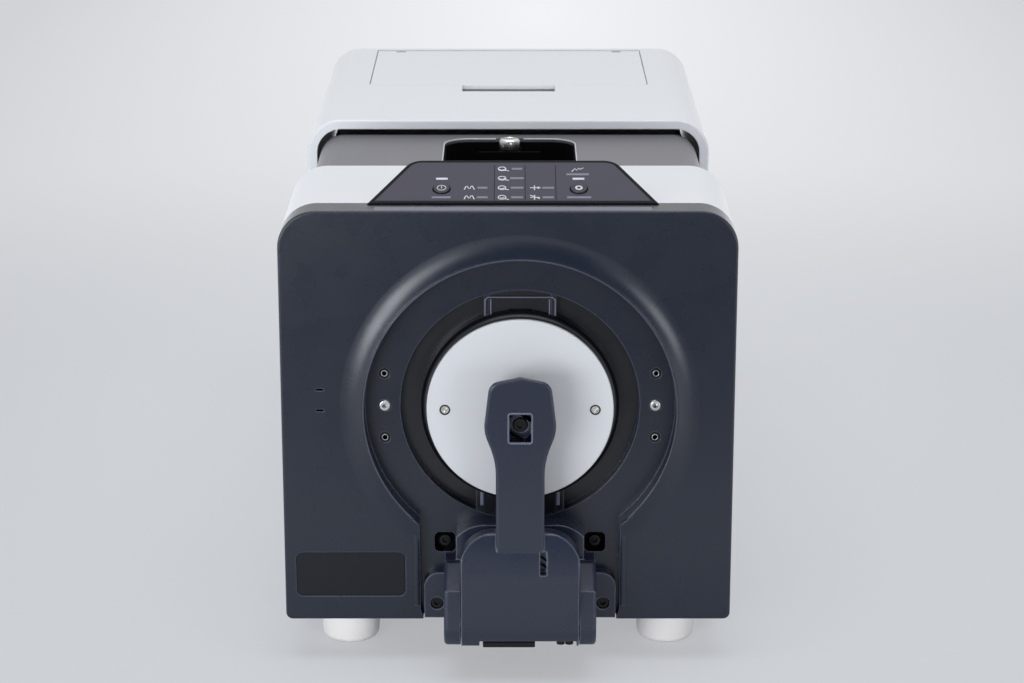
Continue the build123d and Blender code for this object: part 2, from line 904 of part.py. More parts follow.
with BuildPart() as hood:
    with BuildSketch(station(hood_front)):
        arch(case_width, hood_low, case_top, top_corner)
    extrude(amount=-hood_length)
    fillet(hood.faces().sort_by(Axis.Y)[0].edges(), rim_round)
    fillet(hood.faces().sort_by(Axis.Y)[-1].edges(), rim_round)
    with BuildSketch(station(hood_front + rim_depth)):
        arch(2 * inner_half, hood_low - shell_wall, case_top - shell_wall, top_corner - shell_wall)
    extrude(amount=rim_depth + shell_wall - hood_length, mode=Mode.SUBTRACT)
    with BuildSketch(station(hood_front - 1)):
        arch(case_width - 2 * rim_thickness, hood_low - shell_wall, case_top - rim_thickness,
             top_corner - rim_thickness)
    extrude(amount=-rim_depth - 2, mode=Mode.SUBTRACT)
    with BuildSketch(station(hood_front - 1)):
        with Locations((0, rail_middle)):
            Rectangle(2 * inner_half, rail_height + 2 * free_gap)
    extrude(amount=-rim_depth - 2, mode=Mode.SUBTRACT)
    with BuildSketch(station(body_depth - shell_wall - 1)):
        with Locations((0, (hood_low + hood_back_low) / 2 - 1)):
            Rectangle(2 * inner_half, hood_back_low - hood_low + 2)
    extrude(amount=-shell_wall - 2, mode=Mode.SUBTRACT)
    with BuildSketch(Plane.XY.offset(case_top - shell_wall - 1)):
        with Locations((0, face_y + (scoop_back + hole_back) / 2)):
            Rectangle(lid_width + 2 * lid_gap, hole_back - scoop_back)
        fillet(vertices().group_by(Axis.Y)[0], lid_corner)
    extrude(amount=shell_wall + 2, mode=Mode.SUBTRACT)
    with BuildSketch(Plane.XY.offset(case_top - scoop_sink - scoop_wall)):
        with Locations((0, face_y + scoop_back - scoop_length / 2)):
            Rectangle(scoop_width + 2 * scoop_wall, scoop_length)
    extrude(amount=scoop_sink + scoop_wall - 1)
    with BuildSketch(Plane.YZ):
        with BuildLine():
            Polyline(
                (face_y + scoop_back - scoop_length, case_top),
                (face_y + scoop_back - scoop_length + scoop_lead, case_top - scoop_lead_sink),
                (face_y + scoop_back + 1, case_top - scoop_sink),
                (face_y + scoop_back + 1, case_top + 1),
                (face_y + scoop_back - scoop_length, case_top + 1),
                close=True,
            )
        make_face()
    extrude(amount=scoop_width / 2, both=True, mode=Mode.SUBTRACT)
save(hood, "hood")

# Tray under the lid: a tub, a front shelf and a raised bay for the lid's hinge
lid_seat = case_top - shell_wall - free_gap
bay_floor = lid_seat - bay_sink
lid_axis = (face_y + lid_back - lid_axis_inset, case_top - lid_axis_drop)
tray_half = lid_width / 2 - tray_inset
tray_floor = case_top - tray_depth
tray_end = body_depth - shell_wall - free_gap
bay_half = lid_width / 2 + lid_gap
hinge_boss_side = knuckle_side + knuckle_length / 2 + free_gap + pin_boss / 2

with BuildPart() as accessory_tray:
    with BuildSketch(Plane.XY.offset(lid_seat - tray_wall)):
        with Locations((0, face_y + (scoop_back + tray_wall + tray_end) / 2)):
            Rectangle(2 * (tray_half + tray_flange), tray_end - scoop_back - tray_wall)
    extrude(amount=tray_wall)
    with BuildSketch(Plane.XY.offset(tray_floor)):
        with Locations((0, face_y + (tray_front + tray_back) / 2)):
            Rectangle(2 * tray_half, tray_back - tray_front)
    extrude(amount=lid_seat - tray_floor)
    with BuildSketch(Plane.XY.offset(bay_floor - tray_wall)):
        with Locations((0, face_y + (tray_back - tray_wall + tray_end) / 2)):
            Rectangle(2 * (bay_half + tray_wall), tray_end - tray_back + tray_wall)
    extrude(amount=lid_seat - bay_floor + tray_wall)
    with BuildSketch(Plane.XY.offset(tray_floor + tray_wall)):
        with Locations((0, face_y + (tray_front + tray_back) / 2)):
            RectangleRounded(2 * (tray_half - tray_wall), tray_back - tray_front - 2 * tray_wall, lid_corner)
    extrude(amount=lid_seat, mode=Mode.SUBTRACT)
    with BuildSketch(Plane.XY.offset(bay_floor)):
        with Locations((0, face_y + (tray_back + tray_end) / 2)):
            Rectangle(2 * bay_half, tray_end - tray_back - 2 * tray_wall)
    extrude(amount=lid_seat, mode=Mode.SUBTRACT)
    with BuildSketch(Plane.XY.offset(bay_floor)):
        with Locations(*[(side * hinge_boss_side, lid_axis[0]) for side in (-1, 1)]):
            Rectangle(pin_boss, 2 * knuckle_radius)
    extrude(amount=lid_axis[1] + knuckle_radius - bay_floor)
    with BuildSketch(Plane.YZ):
        with Locations(lid_axis):
            Circle(lid_pin_radius + fit_gap)
    extrude(amount=hinge_boss_side + pin_boss, both=True, mode=Mode.SUBTRACT)
save(accessory_tray, "accessory_tray")

with BuildPart() as access_lid:
    with BuildSketch(Plane.XY.offset(case_top - shell_wall)):
        with Locations((0, lid_middle)):
            Rectangle(lid_width, lid_back - lid_front)
        fillet(vertices().group_by(Axis.Y)[0], lid_corner - lid_gap)
    extrude(amount=shell_wall)
    top_edges = access_lid.faces().sort_by(Axis.Z)[-1].edges()
    fillet(top_edges.sort_by(Axis.Y)[:-1], lid_round)
    fillet(access_lid.edges().group_by(Axis.Z)[-1].sort_by(Axis.Y)[-1], lid_back_round)
    for side in (-1, 1):
        with BuildSketch(Plane.YZ.offset(side * knuckle_side)):
            with Locations(lid_axis):
                Circle(knuckle_radius)
            with Locations((lid_axis[0] - knuckle_radius, case_top - shell_wall)):
                Rectangle(2 * knuckle_radius, knuckle_web)
        extrude(amount=knuckle_length / 2, both=True)
    with BuildSketch(Plane.YZ):
        with Locations(lid_axis):
            Circle(lid_pin_radius + running_gap)
    extrude(amount=knuckle_side + knuckle_length, both=True, mode=Mode.SUBTRACT)
    with BuildSketch(Plane.XY.offset(case_top - shell_wall - 1)):
        with Locations(*[(side * hinge_boss_side, lid_axis[0]) for side in (-1, 1)]):
            Rectangle(pin_boss + 2 * free_gap, 4 * knuckle_radius)
    extrude(amount=shell_wall + 2, mode=Mode.SUBTRACT)
save(access_lid, "access_lid")

with BuildPart() as lid_hinge_pins:
    for side in (-1, 1):
        with BuildSketch(Plane.YZ.offset(side * (knuckle_side - knuckle_length / 2))):
            with Locations(lid_axis):
                Circle(lid_pin_radius)
        extrude(amount=side * (knuckle_length + free_gap + pin_boss))
save(lid_hinge_pins, "lid_hinge_pins")

# Control panel: a raised wedge with a legend sheet, two buttons and two lights
light_places = [(power_side, light_reach), (measure_side, light_reach)]
button_places = [(power_side, button_reach), (measure_side, button_reach)]


def control_outline(inset):
    """The trapezoid of the control panel, its rear corners rounded, drawn in by an inset."""
    slope = (control_front_width - control_back_width) / 2 / control_length
    back = control_length - inset
    front_half = control_front_width / 2 - inset * slope - inset * sqrt(1 + slope ** 2)
    back_half = control_front_width / 2 - back * slope - inset * sqrt(1 + slope ** 2)
    with BuildLine() as sides:
        Polyline((-front_half, inset), (front_half, inset), (back_half, back), (-back_half, back), close=True)
    make_face(sides.edges())
    fillet(vertices().group_by(Axis.Y)[-1], control_corner - inset)


with BuildPart() as control_bezel:
    with BuildSketch(control_plane):
        control_outline(0)
    extrude(amount=-control_length)
    fillet(control_bezel.faces().sort_by(Axis.Z)[-1].edges(), control_round)
    with BuildSketch(control_plane.offset(-legend_sheet)):
        control_outline(control_border)
    extrude(amount=legend_sheet + 1, mode=Mode.SUBTRACT)
    with BuildSketch(control_plane.offset(-legend_sheet - control_skin)):
        control_outline(control_wall)
    extrude(amount=-control_length, mode=Mode.SUBTRACT)
    with BuildSketch(control_plane.offset(1)):
        with Locations(*button_places):
            Circle(button_radius + 2 * free_gap)
        with Locations(*light_places):
            Rectangle(light_length + 2 * fit_gap, light_width + 2 * fit_gap)
    extrude(amount=-legend_sheet - control_skin - 2, mode=Mode.SUBTRACT)
    with BuildSketch(Plane.XY.offset(case_top + fit_gap)):
        with Locations((0, face_y)):
            Rectangle(case_width, body_depth)
    extrude(amount=-control_length, mode=Mode.SUBTRACT)
save(control_bezel, "control_bezel")

with BuildPart() as control_plate:
    with BuildSketch(control_plane.offset(-legend_sheet)):
        control_outline(control_border + fit_gap)
        with Locations(*button_places):
            Circle(button_radius + 2 * free_gap, mode=Mode.SUBTRACT)
        with Locations(*light_places):
            Rectangle(light_length + 2 * fit_gap, light_width + 2 * fit_gap, mode=Mode.SUBTRACT)
    extrude(amount=legend_sheet)
save(control_plate, "control_plate")

with BuildPart() as status_lights:
    with BuildSketch(control_plane.offset(-legend_sheet - control_skin)):
        with Locations(*light_places):
            Rectangle(light_length, light_width)
    extrude(amount=legend_sheet + control_skin + icon_height)
save(status_lights, "status_lights")

# One small window for each setting shown beside the buttons
icon_rows = [icon_first_row + icon_row * row for row in range(4)]
left_icons = [(icon_left, icon_rows[row]) for row in (0, 1)]
middle_icons = [(icon_middle, row) for row in icon_rows]
right_icons = [(icon_right, icon_rows[row]) for row in (0, 1)]

with BuildPart() as indicator_windows:
    with BuildSketch(control_plane):
        with Locations(*left_icons, *middle_icons, *right_icons, (measure_side, icon_rows[3])):
            RectangleRounded(icon_width, icon_depth, icon_corner)
    extrude(amount=icon_height)
save(indicator_windows, "indicator_windows")

for name, place in (("power_button", button_places[0]), ("measure_button", button_places[1])):
    with BuildPart() as button:
        with BuildSketch(control_plane.offset(-button_drop)):
            with Locations(place):
                Circle(button_radius)
        extrude(amount=button_drop + button_rise)
        fillet(button.faces().sort_by(Axis.Z)[-1].edges(), button_rise / 2)
        with BuildSketch(control_plane.offset(-button_drop)):
            with Locations(place):
                Circle(button_stem)
        extrude(amount=button_drop + switch_height - board_drop + button_travel + running_gap)
    save(button, name)

board_pegs = [(side * (board_half - board_peg_inset), board_end - board_peg_inset) for side in (-1, 0, 1)]

with BuildPart() as keypad_board:
    with BuildSketch(control_plane.offset(-board_drop - board_sheet)):
        with Locations((0, (board_start + board_end) / 2)):
            Rectangle(2 * board_half, board_end - board_start)
    extrude(amount=board_sheet)
    with BuildSketch(control_plane.offset(-board_drop)):
        with Locations(*button_places):
            Rectangle(switch_size, switch_size)
    extrude(amount=switch_height)
    with BuildSketch(control_plane.offset(-board_drop)):
        with Locations(*board_pegs):
            Circle(button_stem)
    extrude(amount=board_drop - legend_sheet - control_skin - fit_gap)
save(keypad_board, "keypad_board")

# Measuring port: the collar with its keys, the target mask and its screws
mask_screw_points = [(-mask_screw_side, 0), (mask_screw_side, 0)]

with BuildPart() as port_collar:
    with BuildSketch(port_section):
        with BuildLine():
            Line((collar_bore, mask_back), (collar_radius - collar_round, mask_back))
            nose = ThreePointArc(
                (collar_radius - collar_round, mask_back),
                (collar_radius - collar_round * (1 - sqrt(0.5)), mask_back + collar_round * (1 - sqrt(0.5))),
                (collar_radius, mask_back + collar_round),
            )
            Polyline(
                nose @ 1,
                (collar_radius, channel_sink),
                (collar_bore, channel_sink),
                (collar_bore, mask_back),
            )
        make_face()
    revolve(axis=port_axis)
    for toward, width, rib in ((1, key_width, key_rib), (-1, low_key_width, low_key_rib)):
        with BuildSketch(port_station(key_sink)):
            with Locations((0, toward * channel_radius)):
                Rectangle(width, 2 * (channel_radius - mask_radius + key_lap))
            Circle(channel_radius - free_gap, mode=Mode.INTERSECT)
        extrude(amount=key_sink - channel_sink)
        with BuildSketch(port_station(key_sink - 1)):
            with Locations((0, toward * channel_radius)):
                Rectangle(width - 2 * rib, 2 * (channel_radius - mask_radius + key_lap / 2))
        extrude(amount=-1 - key_step, mode=Mode.SUBTRACT)
    with BuildSketch(port_station(key_sink)):
        with Locations((0, mask_radius + key_slot_rise)):
            Rectangle(key_slot, key_slot_height)
    extrude(amount=-2 * key_step, mode=Mode.SUBTRACT)
    with BuildSketch(port_station(mask_back - 1)):
        with Locations(*mask_screw_points):
            Circle(mask_screw_radius + fit_gap)
    extrude(amount=-channel_sink, mode=Mode.SUBTRACT)
save(port_collar, "port_collar")

with BuildPart() as target_mask:
    with BuildSketch(port_station(mask_sink)):
        Circle(mask_radius)
        Circle(aperture_radius, mode=Mode.SUBTRACT)
    extrude(amount=-mask_thickness)
    rims = target_mask.edges().filter_by(GeomType.CIRCLE).group_by(Axis.Y)[0].sort_by(SortBy.RADIUS)
    fillet(rims[-1], mask_round)
    chamfer(rims[0], aperture_bevel)
    with BuildSketch(port_station(mask_sink - 1)):
        with Locations(*mask_screw_points):
            Circle(mask_screw_radius + fit_gap)
    extrude(amount=-mask_thickness - 2, mode=Mode.SUBTRACT)
    with BuildSketch(port_station(mask_sink - 1)):
        with Locations(*mask_screw_points):
            Circle(mask_screw_head + fit_gap)
    extrude(amount=-mask_screw_cap - 1, mode=Mode.SUBTRACT)
save(target_mask, "target_mask")

with BuildPart() as mask_screws:
    with BuildSketch(port_station(mask_sink + mask_screw_cap)):
        with Locations(*mask_screw_points):
            Circle(mask_screw_head)
    extrude(amount=mask_screw_cap - 2 * fit_gap)
    with BuildSketch(port_station(mask_sink + mask_screw_cap)):
        with Locations(*mask_screw_points):
            Circle(mask_screw_radius)
    extrude(amount=mask_sink + mask_screw_cap - channel_sink + 1)
    with BuildSketch(port_station(mask_sink)):
        with Locations(*mask_screw_points):
            Rectangle(2 * mask_screw_head, driver_slot)
            Rectangle(driver_slot, 2 * mask_screw_head)
    extrude(amount=-driver_sink, mode=Mode.SUBTRACT)
save(mask_screws, "mask_screws")

with BuildPart() as gauge_pins:
    with BuildSketch(port_station(ring_sink - gauge_pin_rise)):
        with Locations(*pin_points):
            Circle(gauge_pin_radius)
    extrude(amount=-insert_length)
    fillet(gauge_pins.edges().group_by(Axis.Y)[0], gauge_pin_rise)
    with BuildSketch(port_station(ring_sink - gauge_pin_rise)):
        with Locations(*pin_points):
            RegularPolygon(insert_bore, 6)
    extrude(amount=-insert_length / 2, mode=Mode.SUBTRACT)
save(gauge_pins, "gauge_pins")

with BuildPart() as ring_inserts:
    with BuildSketch(port_station(ring_sink)):
        with Locations(*gauge_points):
            Circle(insert_radius)
            Circle(insert_bore, mode=Mode.SUBTRACT)
    extrude(amount=-insert_length)
save(ring_inserts, "ring_inserts")

# Bracket that carries the specimen arm
hinge_spot = (face_y + hinge_sink, hinge_height)
bracket_shoulder = port_height - bracket_shoulder_drop
bracket_top = port_height - bracket_top_drop
cheek_top = port_height - cheek_top_drop
ear_low = hinge_height - ear_drop
ear_high = hinge_height + ear_rise


def arm_station(depth):
    """An upright plane facing the front, centred over the arm."""
    return Plane(origin=(port_side, face_y + depth, 0), x_dir=(1, 0, 0), z_dir=(0, -1, 0))


def base_arch(half, shoulder, top_half, top):
    """The outline of the arm's base, or of the bracket behind it."""
    with BuildLine() as outline:
        Line((half, hinge_height - 2 * barrel_radius), (half, shoulder))
        ThreePointArc(
            (half, shoulder),
            (half - (half - top_half) * arch_in, shoulder + (top - shoulder) * arch_up),
            (top_half, top),
        )
        Line((top_half, top), (0, top))
        Line((0, hinge_height - 2 * barrel_radius), (half, hinge_height - 2 * barrel_radius))
        mirror(about=Plane.YZ)
    make_face(outline.edges())


with BuildPart() as holder_bracket:
    with BuildSketch(arm_station(bracket_face)):
        base_arch(
            arm_half + bracket_margin,
            base_shoulder + bracket_margin,
            neck_width / 2 + bracket_margin,
            bracket_top,
        )
        with Locations((0, (bracket_foot + bracket_shoulder) / 2)):
            Rectangle(2 * cheek_outer, bracket_shoulder - bracket_foot)
        with Locations((0, bracket_foot - panel_height / 2)):
            Rectangle(case_width, panel_height, mode=Mode.SUBTRACT)
    extrude(amount=bracket_face - ring_sink + fit_gap)
    for side in (-1, 1):
        with BuildSketch(Plane.YZ.offset(port_side + side * cheek_inner)):
            with BuildLine():
                Polyline(
                    (face_y + bracket_face + 1, bracket_foot),
                    (face_y + bracket_face + 1, cheek_top),
                    (face_y + bracket_face - cheek_lip, cheek_top),
                    (face_y + hinge_sink - barrel_radius + cheek_lean, bracket_shoulder - cheek_drop),
                    (face_y + hinge_sink - barrel_radius + cheek_back, hinge_height),
                )
                swell = ThreePointArc(
                    (face_y + hinge_sink - barrel_radius + cheek_back, hinge_height),
                    (face_y + hinge_sink - (barrel_radius - cheek_back) * sqrt(0.5),
                     hinge_height - (hinge_height - bracket_foot) * sqrt(0.5)),
                    (face_y + hinge_sink, bracket_foot),
                )
                Line(swell @ 1, (face_y + bracket_face + 1, bracket_foot))
            make_face()
        extrude(amount=side * cheek)
    sides = holder_bracket.faces().sort_by(Axis.X)
    outer_edges = sides[0].edges() + sides[-1].edges()
    fillet([edge for edge in outer_edges if edge.center().Y < face_y + bracket_face], cheek_round)
    with BuildSketch(arm_station(ear_face)):
        for side in (-1, 1):
            with Locations((side * (cheek_outer + (ear_width - ear_lap) / 2), (ear_low + ear_high) / 2)):
                Rectangle(ear_width + ear_lap, ear_high - ear_low)
        fillet(vertices().group_by(Axis.Y)[-1].sort_by(Axis.X)[::3], ear_corner)
    extrude(amount=ear_face - ring_sink + fit_gap)
    with BuildSketch(station(bracket_face - 1)):
        with Locations(*lug_points):
            Circle(bracket_screw_radius + fit_gap)
        with Locations(*well_points):
            Rectangle(well_size, well_size)
    extrude(amount=bracket_face - ring_sink - 2, mode=Mode.SUBTRACT)
    with BuildSketch(station(bracket_face - 1)):
        with Locations(*lug_points):
            Circle(bracket_screw_head + free_gap)
    extrude(amount=bracket_face - 1 - ear_face - ear_pocket, mode=Mode.SUBTRACT)
    with BuildSketch(Plane.YZ.offset(port_side)):
        with Locations(hinge_spot):
            Circle(hinge_pin_radius + fit_gap)
    extrude(amount=cheek_outer + 1, both=True, mode=Mode.SUBTRACT)
save(holder_bracket, "holder_bracket")

with BuildPart() as bracket_screws:
    for points, seat, tip in (
        (well_points, well_sink, well_sink + dish_wall + well_screw_reach),
        (lug_points, ear_face + ear_pocket, well_sink + dish_wall + lug_screw_reach),
    ):
        with BuildSketch(station(seat)):
            with Locations(*points):
                Circle(bracket_screw_head)
                RegularPolygon(bracket_screw_drive, 6, mode=Mode.SUBTRACT)
        extrude(amount=bracket_screw_cap)
        with BuildSketch(station(seat)):
            with Locations(*points):
                Circle(bracket_screw_radius)
        extrude(amount=seat - tip)
save(bracket_screws, "bracket_screws")

with BuildPart() as hinge_pin:
    with BuildSketch(Plane.YZ.offset(port_side)):
        with Locations(hinge_spot):
            Circle(hinge_pin_radius)
    extrude(amount=cheek_outer - hinge_pin_sink, both=True)
    chamfer(hinge_pin.edges().filter_by(GeomType.CIRCLE), hinge_pin_bevel)
save(hinge_pin, "hinge_pin")

# Specimen arm: a broad base, a narrow neck and a head with a window
half_neck = neck_width / 2
rake = radians(arm_rake)
notch_top = hinge_height - barrel_radius + notch_height
head_top = port_height + head_top_rise

with BuildPart() as arm_base:
    with BuildSketch(Plane.YZ.offset(port_side)):
        with BuildLine():
            face_line = Line((face_y + base_front, hinge_height), (face_y + base_front, base_bend))
            bend = ThreePointArc(
                face_line @ 1,
                (face_y + base_front + base_bow, (base_bend + neck_bottom) / 2 + base_bow_rise),
                (face_y + base_front + base_lean, neck_bottom),
            )
            back_line = Polyline(
                bend @ 1,
                (face_y + arm_front + arm_thickness, neck_bottom),
                (face_y + arm_front + arm_thickness, base_shoulder),
                (face_y + hinge_sink + barrel_radius, base_bend - base_back_drop),
                (face_y + hinge_sink + barrel_radius, hinge_height),
            )
            ThreePointArc(
                back_line @ 1,
                (face_y + hinge_sink, hinge_height - barrel_radius),
                face_line @ 0,
            )
        make_face()
    extrude(amount=arm_half, both=True)
    with BuildSketch(arm_station(base_front - 1)):
        base_arch(arm_half, base_shoulder, half_neck, neck_bottom)
    extrude(amount=-2 * barrel_radius - 2, mode=Mode.INTERSECT)

with BuildPart() as whole_arm:
    with BuildSketch(arm_station(arm_front)):
        with BuildLine():
            Polyline(
                (0, base_bend),
                (half_neck, base_bend),
                (half_neck, neck_top),
                (head_width / 2, port_height - head_wide_drop),
                (head_crown_width / 2, head_top - crown_drop),
                (0, head_top),
            )
            mirror(about=Plane.YZ)
        make_face()
        for corner, radius in ((2, head_blend), (1, neck_blend), (-2, shoulder_round), (-1, crown_round)):
            fillet(vertices().group_by(Axis.Y)[corner], radius)
    extrude(amount=arm_thickness / cos(rake), dir=(0, cos(rake), -sin(rake)))
    fillet(whole_arm.faces().sort_by(Axis.Y)[0].edges(), arm_round)
    add(arm_base.part)
    with BuildSketch(arm_station(base_front - 1)):
        with Locations(((notch_left + notch_right) / 2, notch_top - barrel_radius)):
            Rectangle(notch_right - notch_left, 2 * barrel_radius)
    extrude(amount=-3 * barrel_radius, mode=Mode.SUBTRACT)
    with BuildSketch(arm_station(base_front - 1)):
        with Locations((half_neck - slot_inset, port_height - slot_drop)):
            Rectangle(slot_width, slot_length)
    extrude(amount=-slot_depth, mode=Mode.SUBTRACT)
    with BuildSketch(arm_station(base_front)):
        with Locations((0, port_height)):
            Rectangle(window_width, window_height)
    extrude(amount=base_front - arm_front - window_sink, mode=Mode.SUBTRACT)

with BuildPart() as arm_cover:
    add(whole_arm.part)
    split(bisect_by=station(arm_split), keep=Keep.TOP)
save(arm_cover, "arm_cover")

arm_back = arm_front + arm_thickness
cap_seat = arm_front + window_sink + pad_cap_height / 2

with BuildPart() as arm_core:
    add(whole_arm.part)
    split(bisect_by=station(arm_split), keep=Keep.BOTTOM)
    with BuildSketch(port_station(arm_back - 1)):
        Circle(guide_radius)
    extrude(amount=-guide_length - 1)
    with BuildSketch(port_station(arm_split)):
        Circle(pad_stem_radius + running_gap)
    extrude(amount=arm_split - arm_back - guide_length - 1, mode=Mode.SUBTRACT)
    with BuildSketch(port_station(arm_split)):
        Circle(pad_cap_radius + free_gap)
    extrude(amount=arm_split - cap_seat, mode=Mode.SUBTRACT)
    with BuildSketch(Plane.YZ.offset(port_side)):
        with Locations(hinge_spot):
            Circle(bush_radius + fit_gap)
    extrude(amount=arm_half + 1, both=True, mode=Mode.SUBTRACT)
    with BuildSketch(Plane.YZ.offset(port_side)):
        with Locations((face_y + hinge_sink + bay_shift, hinge_height)):
            Rectangle(barrel_radius + bay_deep, 2 * bush_radius + bay_deep)
    extrude(amount=spring_bay / 2, both=True, mode=Mode.SUBTRACT)
save(arm_core, "arm_core")

with BuildPart() as hinge_bushes:
    for side in (-1, 1):
        with BuildSketch(Plane.YZ.offset(port_side + side * arm_half)):
            with Locations(hinge_spot):
                Circle(bush_radius)
                Circle(hinge_pin_radius + running_gap, mode=Mode.SUBTRACT)
        extrude(amount=-side * bush_length)
save(hinge_bushes, "hinge_bushes")

# The closing spring on the pin, drawn as the sleeve that its coils fill
with BuildPart() as closing_spring:
    with BuildSketch(Plane.YZ.offset(port_side)):
        with Locations(hinge_spot):
            Circle(bush_radius)
            Circle(hinge_pin_radius + fit_gap, mode=Mode.SUBTRACT)
    extrude(amount=spring_bay / 2 - spring_end_gap, both=True)
save(closing_spring, "closing_spring")

bar_bottom = hinge_height - barrel_radius + free_gap
adjuster_points = [(port_side + adjuster_side + place, hinge_spot[0]) for place in (0, adjuster_pitch)]
bar_posts = [(port_side + place, hinge_spot[0]) for place in (bar_left + bar_height, bar_right - bar_height)]

with BuildPart() as base_adjusters:
    with BuildSketch(Plane.XY.offset(bar_bottom)):
        with Locations((port_side + (bar_left + bar_right) / 2, hinge_spot[0])):
            RectangleRounded(bar_right - bar_left, bar_depth, bar_corner)
    extrude(amount=bar_height)
    with BuildSketch(Plane.XY.offset(bar_bottom + bar_height)):
        with Locations(*bar_posts):
            Circle(adjuster_radius)
    extrude(amount=notch_top - bar_bottom - bar_height)
    with BuildSketch(Plane.XY.offset(bar_bottom)):
        with Locations(*adjuster_points):
            Circle(adjuster_radius)
    extrude(amount=notch_top - bar_bottom)
save(base_adjusters, "base_adjusters")

# Presser pad, its guide cup and its spring
pad_face = mask_sink - free_gap
pad_back = pad_face - pad_thickness
cup_inner = guide_radius + free_gap
cup_start = arm_back + guide_length - cup_overlap

with BuildPart() as presser_pad:
    with BuildSketch(port_station(pad_back)):
        Circle(pad_radius)
    extrude(amount=-pad_thickness)
    chamfer(presser_pad.edges().group_by(Axis.Y)[0], pad_bevel)
    with BuildSketch(port_station(cup_start)):
        Circle(cup_inner + cup_wall)
        Circle(cup_inner, mode=Mode.SUBTRACT)
    extrude(amount=cup_start - pad_back)
save(presser_pad, "presser_pad")

with BuildPart() as pad_screw:
    with BuildSketch(port_station(cap_seat)):
        Circle(pad_cap_radius)
        RegularPolygon(pad_cap_drive, 6, mode=Mode.SUBTRACT)
    extrude(amount=pad_cap_height)
    with BuildSketch(port_station(cap_seat)):
        Circle(pad_stem_radius)
    extrude(amount=cap_seat - pad_back)
save(pad_screw, "pad_screw")

with BuildPart() as pad_spring:
    with BuildSketch(port_station(arm_back + guide_length + fit_gap)):
        Circle(pad_stem_radius + spring_clear + spring_sleeve)
        Circle(pad_stem_radius + spring_clear, mode=Mode.SUBTRACT)
    extrude(amount=arm_back + guide_length + 2 * fit_gap - pad_back)
save(pad_spring, "pad_spring")

# Transmission chamber: its liner, the specimen holder and the thumb screw
chamber_middle = face_y + (chamber_front + chamber_back) / 2
liner_top = cover_top - sheet - fit_gap

with BuildPart() as chamber_liner:
    with BuildSketch(Plane.XY.offset(chamber_floor)):
        with Locations((chamber_side, chamber_middle)):
            RectangleRounded(chamber_width, chamber_back - chamber_front, chamber_corner)
    extrude(amount=liner_top - chamber_floor)
    with BuildSketch(Plane.XY.offset(chamber_floor + chamber_wall)):
        with Locations((chamber_side, chamber_middle)):
            RectangleRounded(
                chamber_width - 2 * chamber_wall,
                chamber_back - chamber_front - 2 * chamber_wall,
                chamber_corner - chamber_wall,
            )
    extrude(amount=liner_top, mode=Mode.SUBTRACT)
    with BuildSketch(Plane.XY.offset(shelf_top)):
        with Locations((chamber_side, face_y + chamber_back - shelf_depth / 2)):
            Rectangle(2 * thumb_radius, shelf_depth)
    extrude(amount=-shelf_wall)
    with BuildSketch(Plane.XY.offset(shelf_top)):
        with Locations((chamber_side, face_y + chamber_back)):
            Rectangle(2 * (thumb_radius + thumb_clear), 4 * chamber_wall)
    extrude(amount=cover_top, mode=Mode.SUBTRACT)
    with BuildSketch(port_station(chamber_front - 1)):
        Circle(beam_radius)
    extrude(amount=chamber_front - chamber_back - 2, mode=Mode.SUBTRACT)
    with BuildSketch(Plane.XY.offset(shelf_top + 1)):
        with Locations((chamber_side, face_y + thumb_depth)):
            Circle(thumb_stem + fit_gap)
    extrude(amount=-shelf_wall - 2, mode=Mode.SUBTRACT)
save(chamber_liner, "chamber_liner")

holder_face = chamber_back - shelf_depth - free_gap
holder_front = holder_face - holder_sheet
holder_back = chamber_back - 2 * chamber_wall
holder_low = chamber_floor + holder_foot
holder_top = shelf_top + holder_sheet

with BuildPart() as cell_holder:
    with BuildSketch(Plane.XY.offset(shelf_top)):
        with Locations((chamber_side, face_y + (holder_front + holder_back) / 2)):
            Rectangle(2 * thumb_radius, holder_back - holder_front)
    extrude(amount=holder_sheet)
    with BuildSketch(station(holder_front)):
        with Locations((chamber_side, (holder_low + holder_top) / 2)):
            Rectangle(2 * holder_half, holder_top - holder_low)
        with Locations((port_side, port_height)):
            Circle(beam_radius - holder_ring, mode=Mode.SUBTRACT)
    extrude(amount=-holder_sheet)
    with BuildSketch(Plane.XY.offset(shelf_top - 1)):
        with Locations((chamber_side, face_y + thumb_depth)):
            Circle(thumb_stem + running_gap)
    extrude(amount=holder_sheet + 2, mode=Mode.SUBTRACT)
save(cell_holder, "cell_holder")

with BuildPart() as thumb_screw:
    with BuildSketch(Plane.XY.offset(thumb_top - thumb_height)):
        with Locations((chamber_side, face_y + thumb_depth)):
            Circle(thumb_radius)
            with PolarLocations(thumb_radius + flute_offset, thumb_flutes):
                Circle(flute_radius, mode=Mode.SUBTRACT)
    extrude(amount=thumb_height)
    with BuildSketch(Plane.XY.offset(thumb_top - thumb_height)):
        with Locations((chamber_side, face_y + thumb_depth)):
            Circle(thumb_stem)
    extrude(amount=-thumb_stem_length)
save(thumb_screw, "thumb_screw")

# Integrating sphere in two halves on a cradle, with its two lamps
sphere_neck = mask_back + fit_gap
flange_middle_radius = (sphere_flange + sphere_inner + 1) / 2
stand_height = port_height - stand_drop

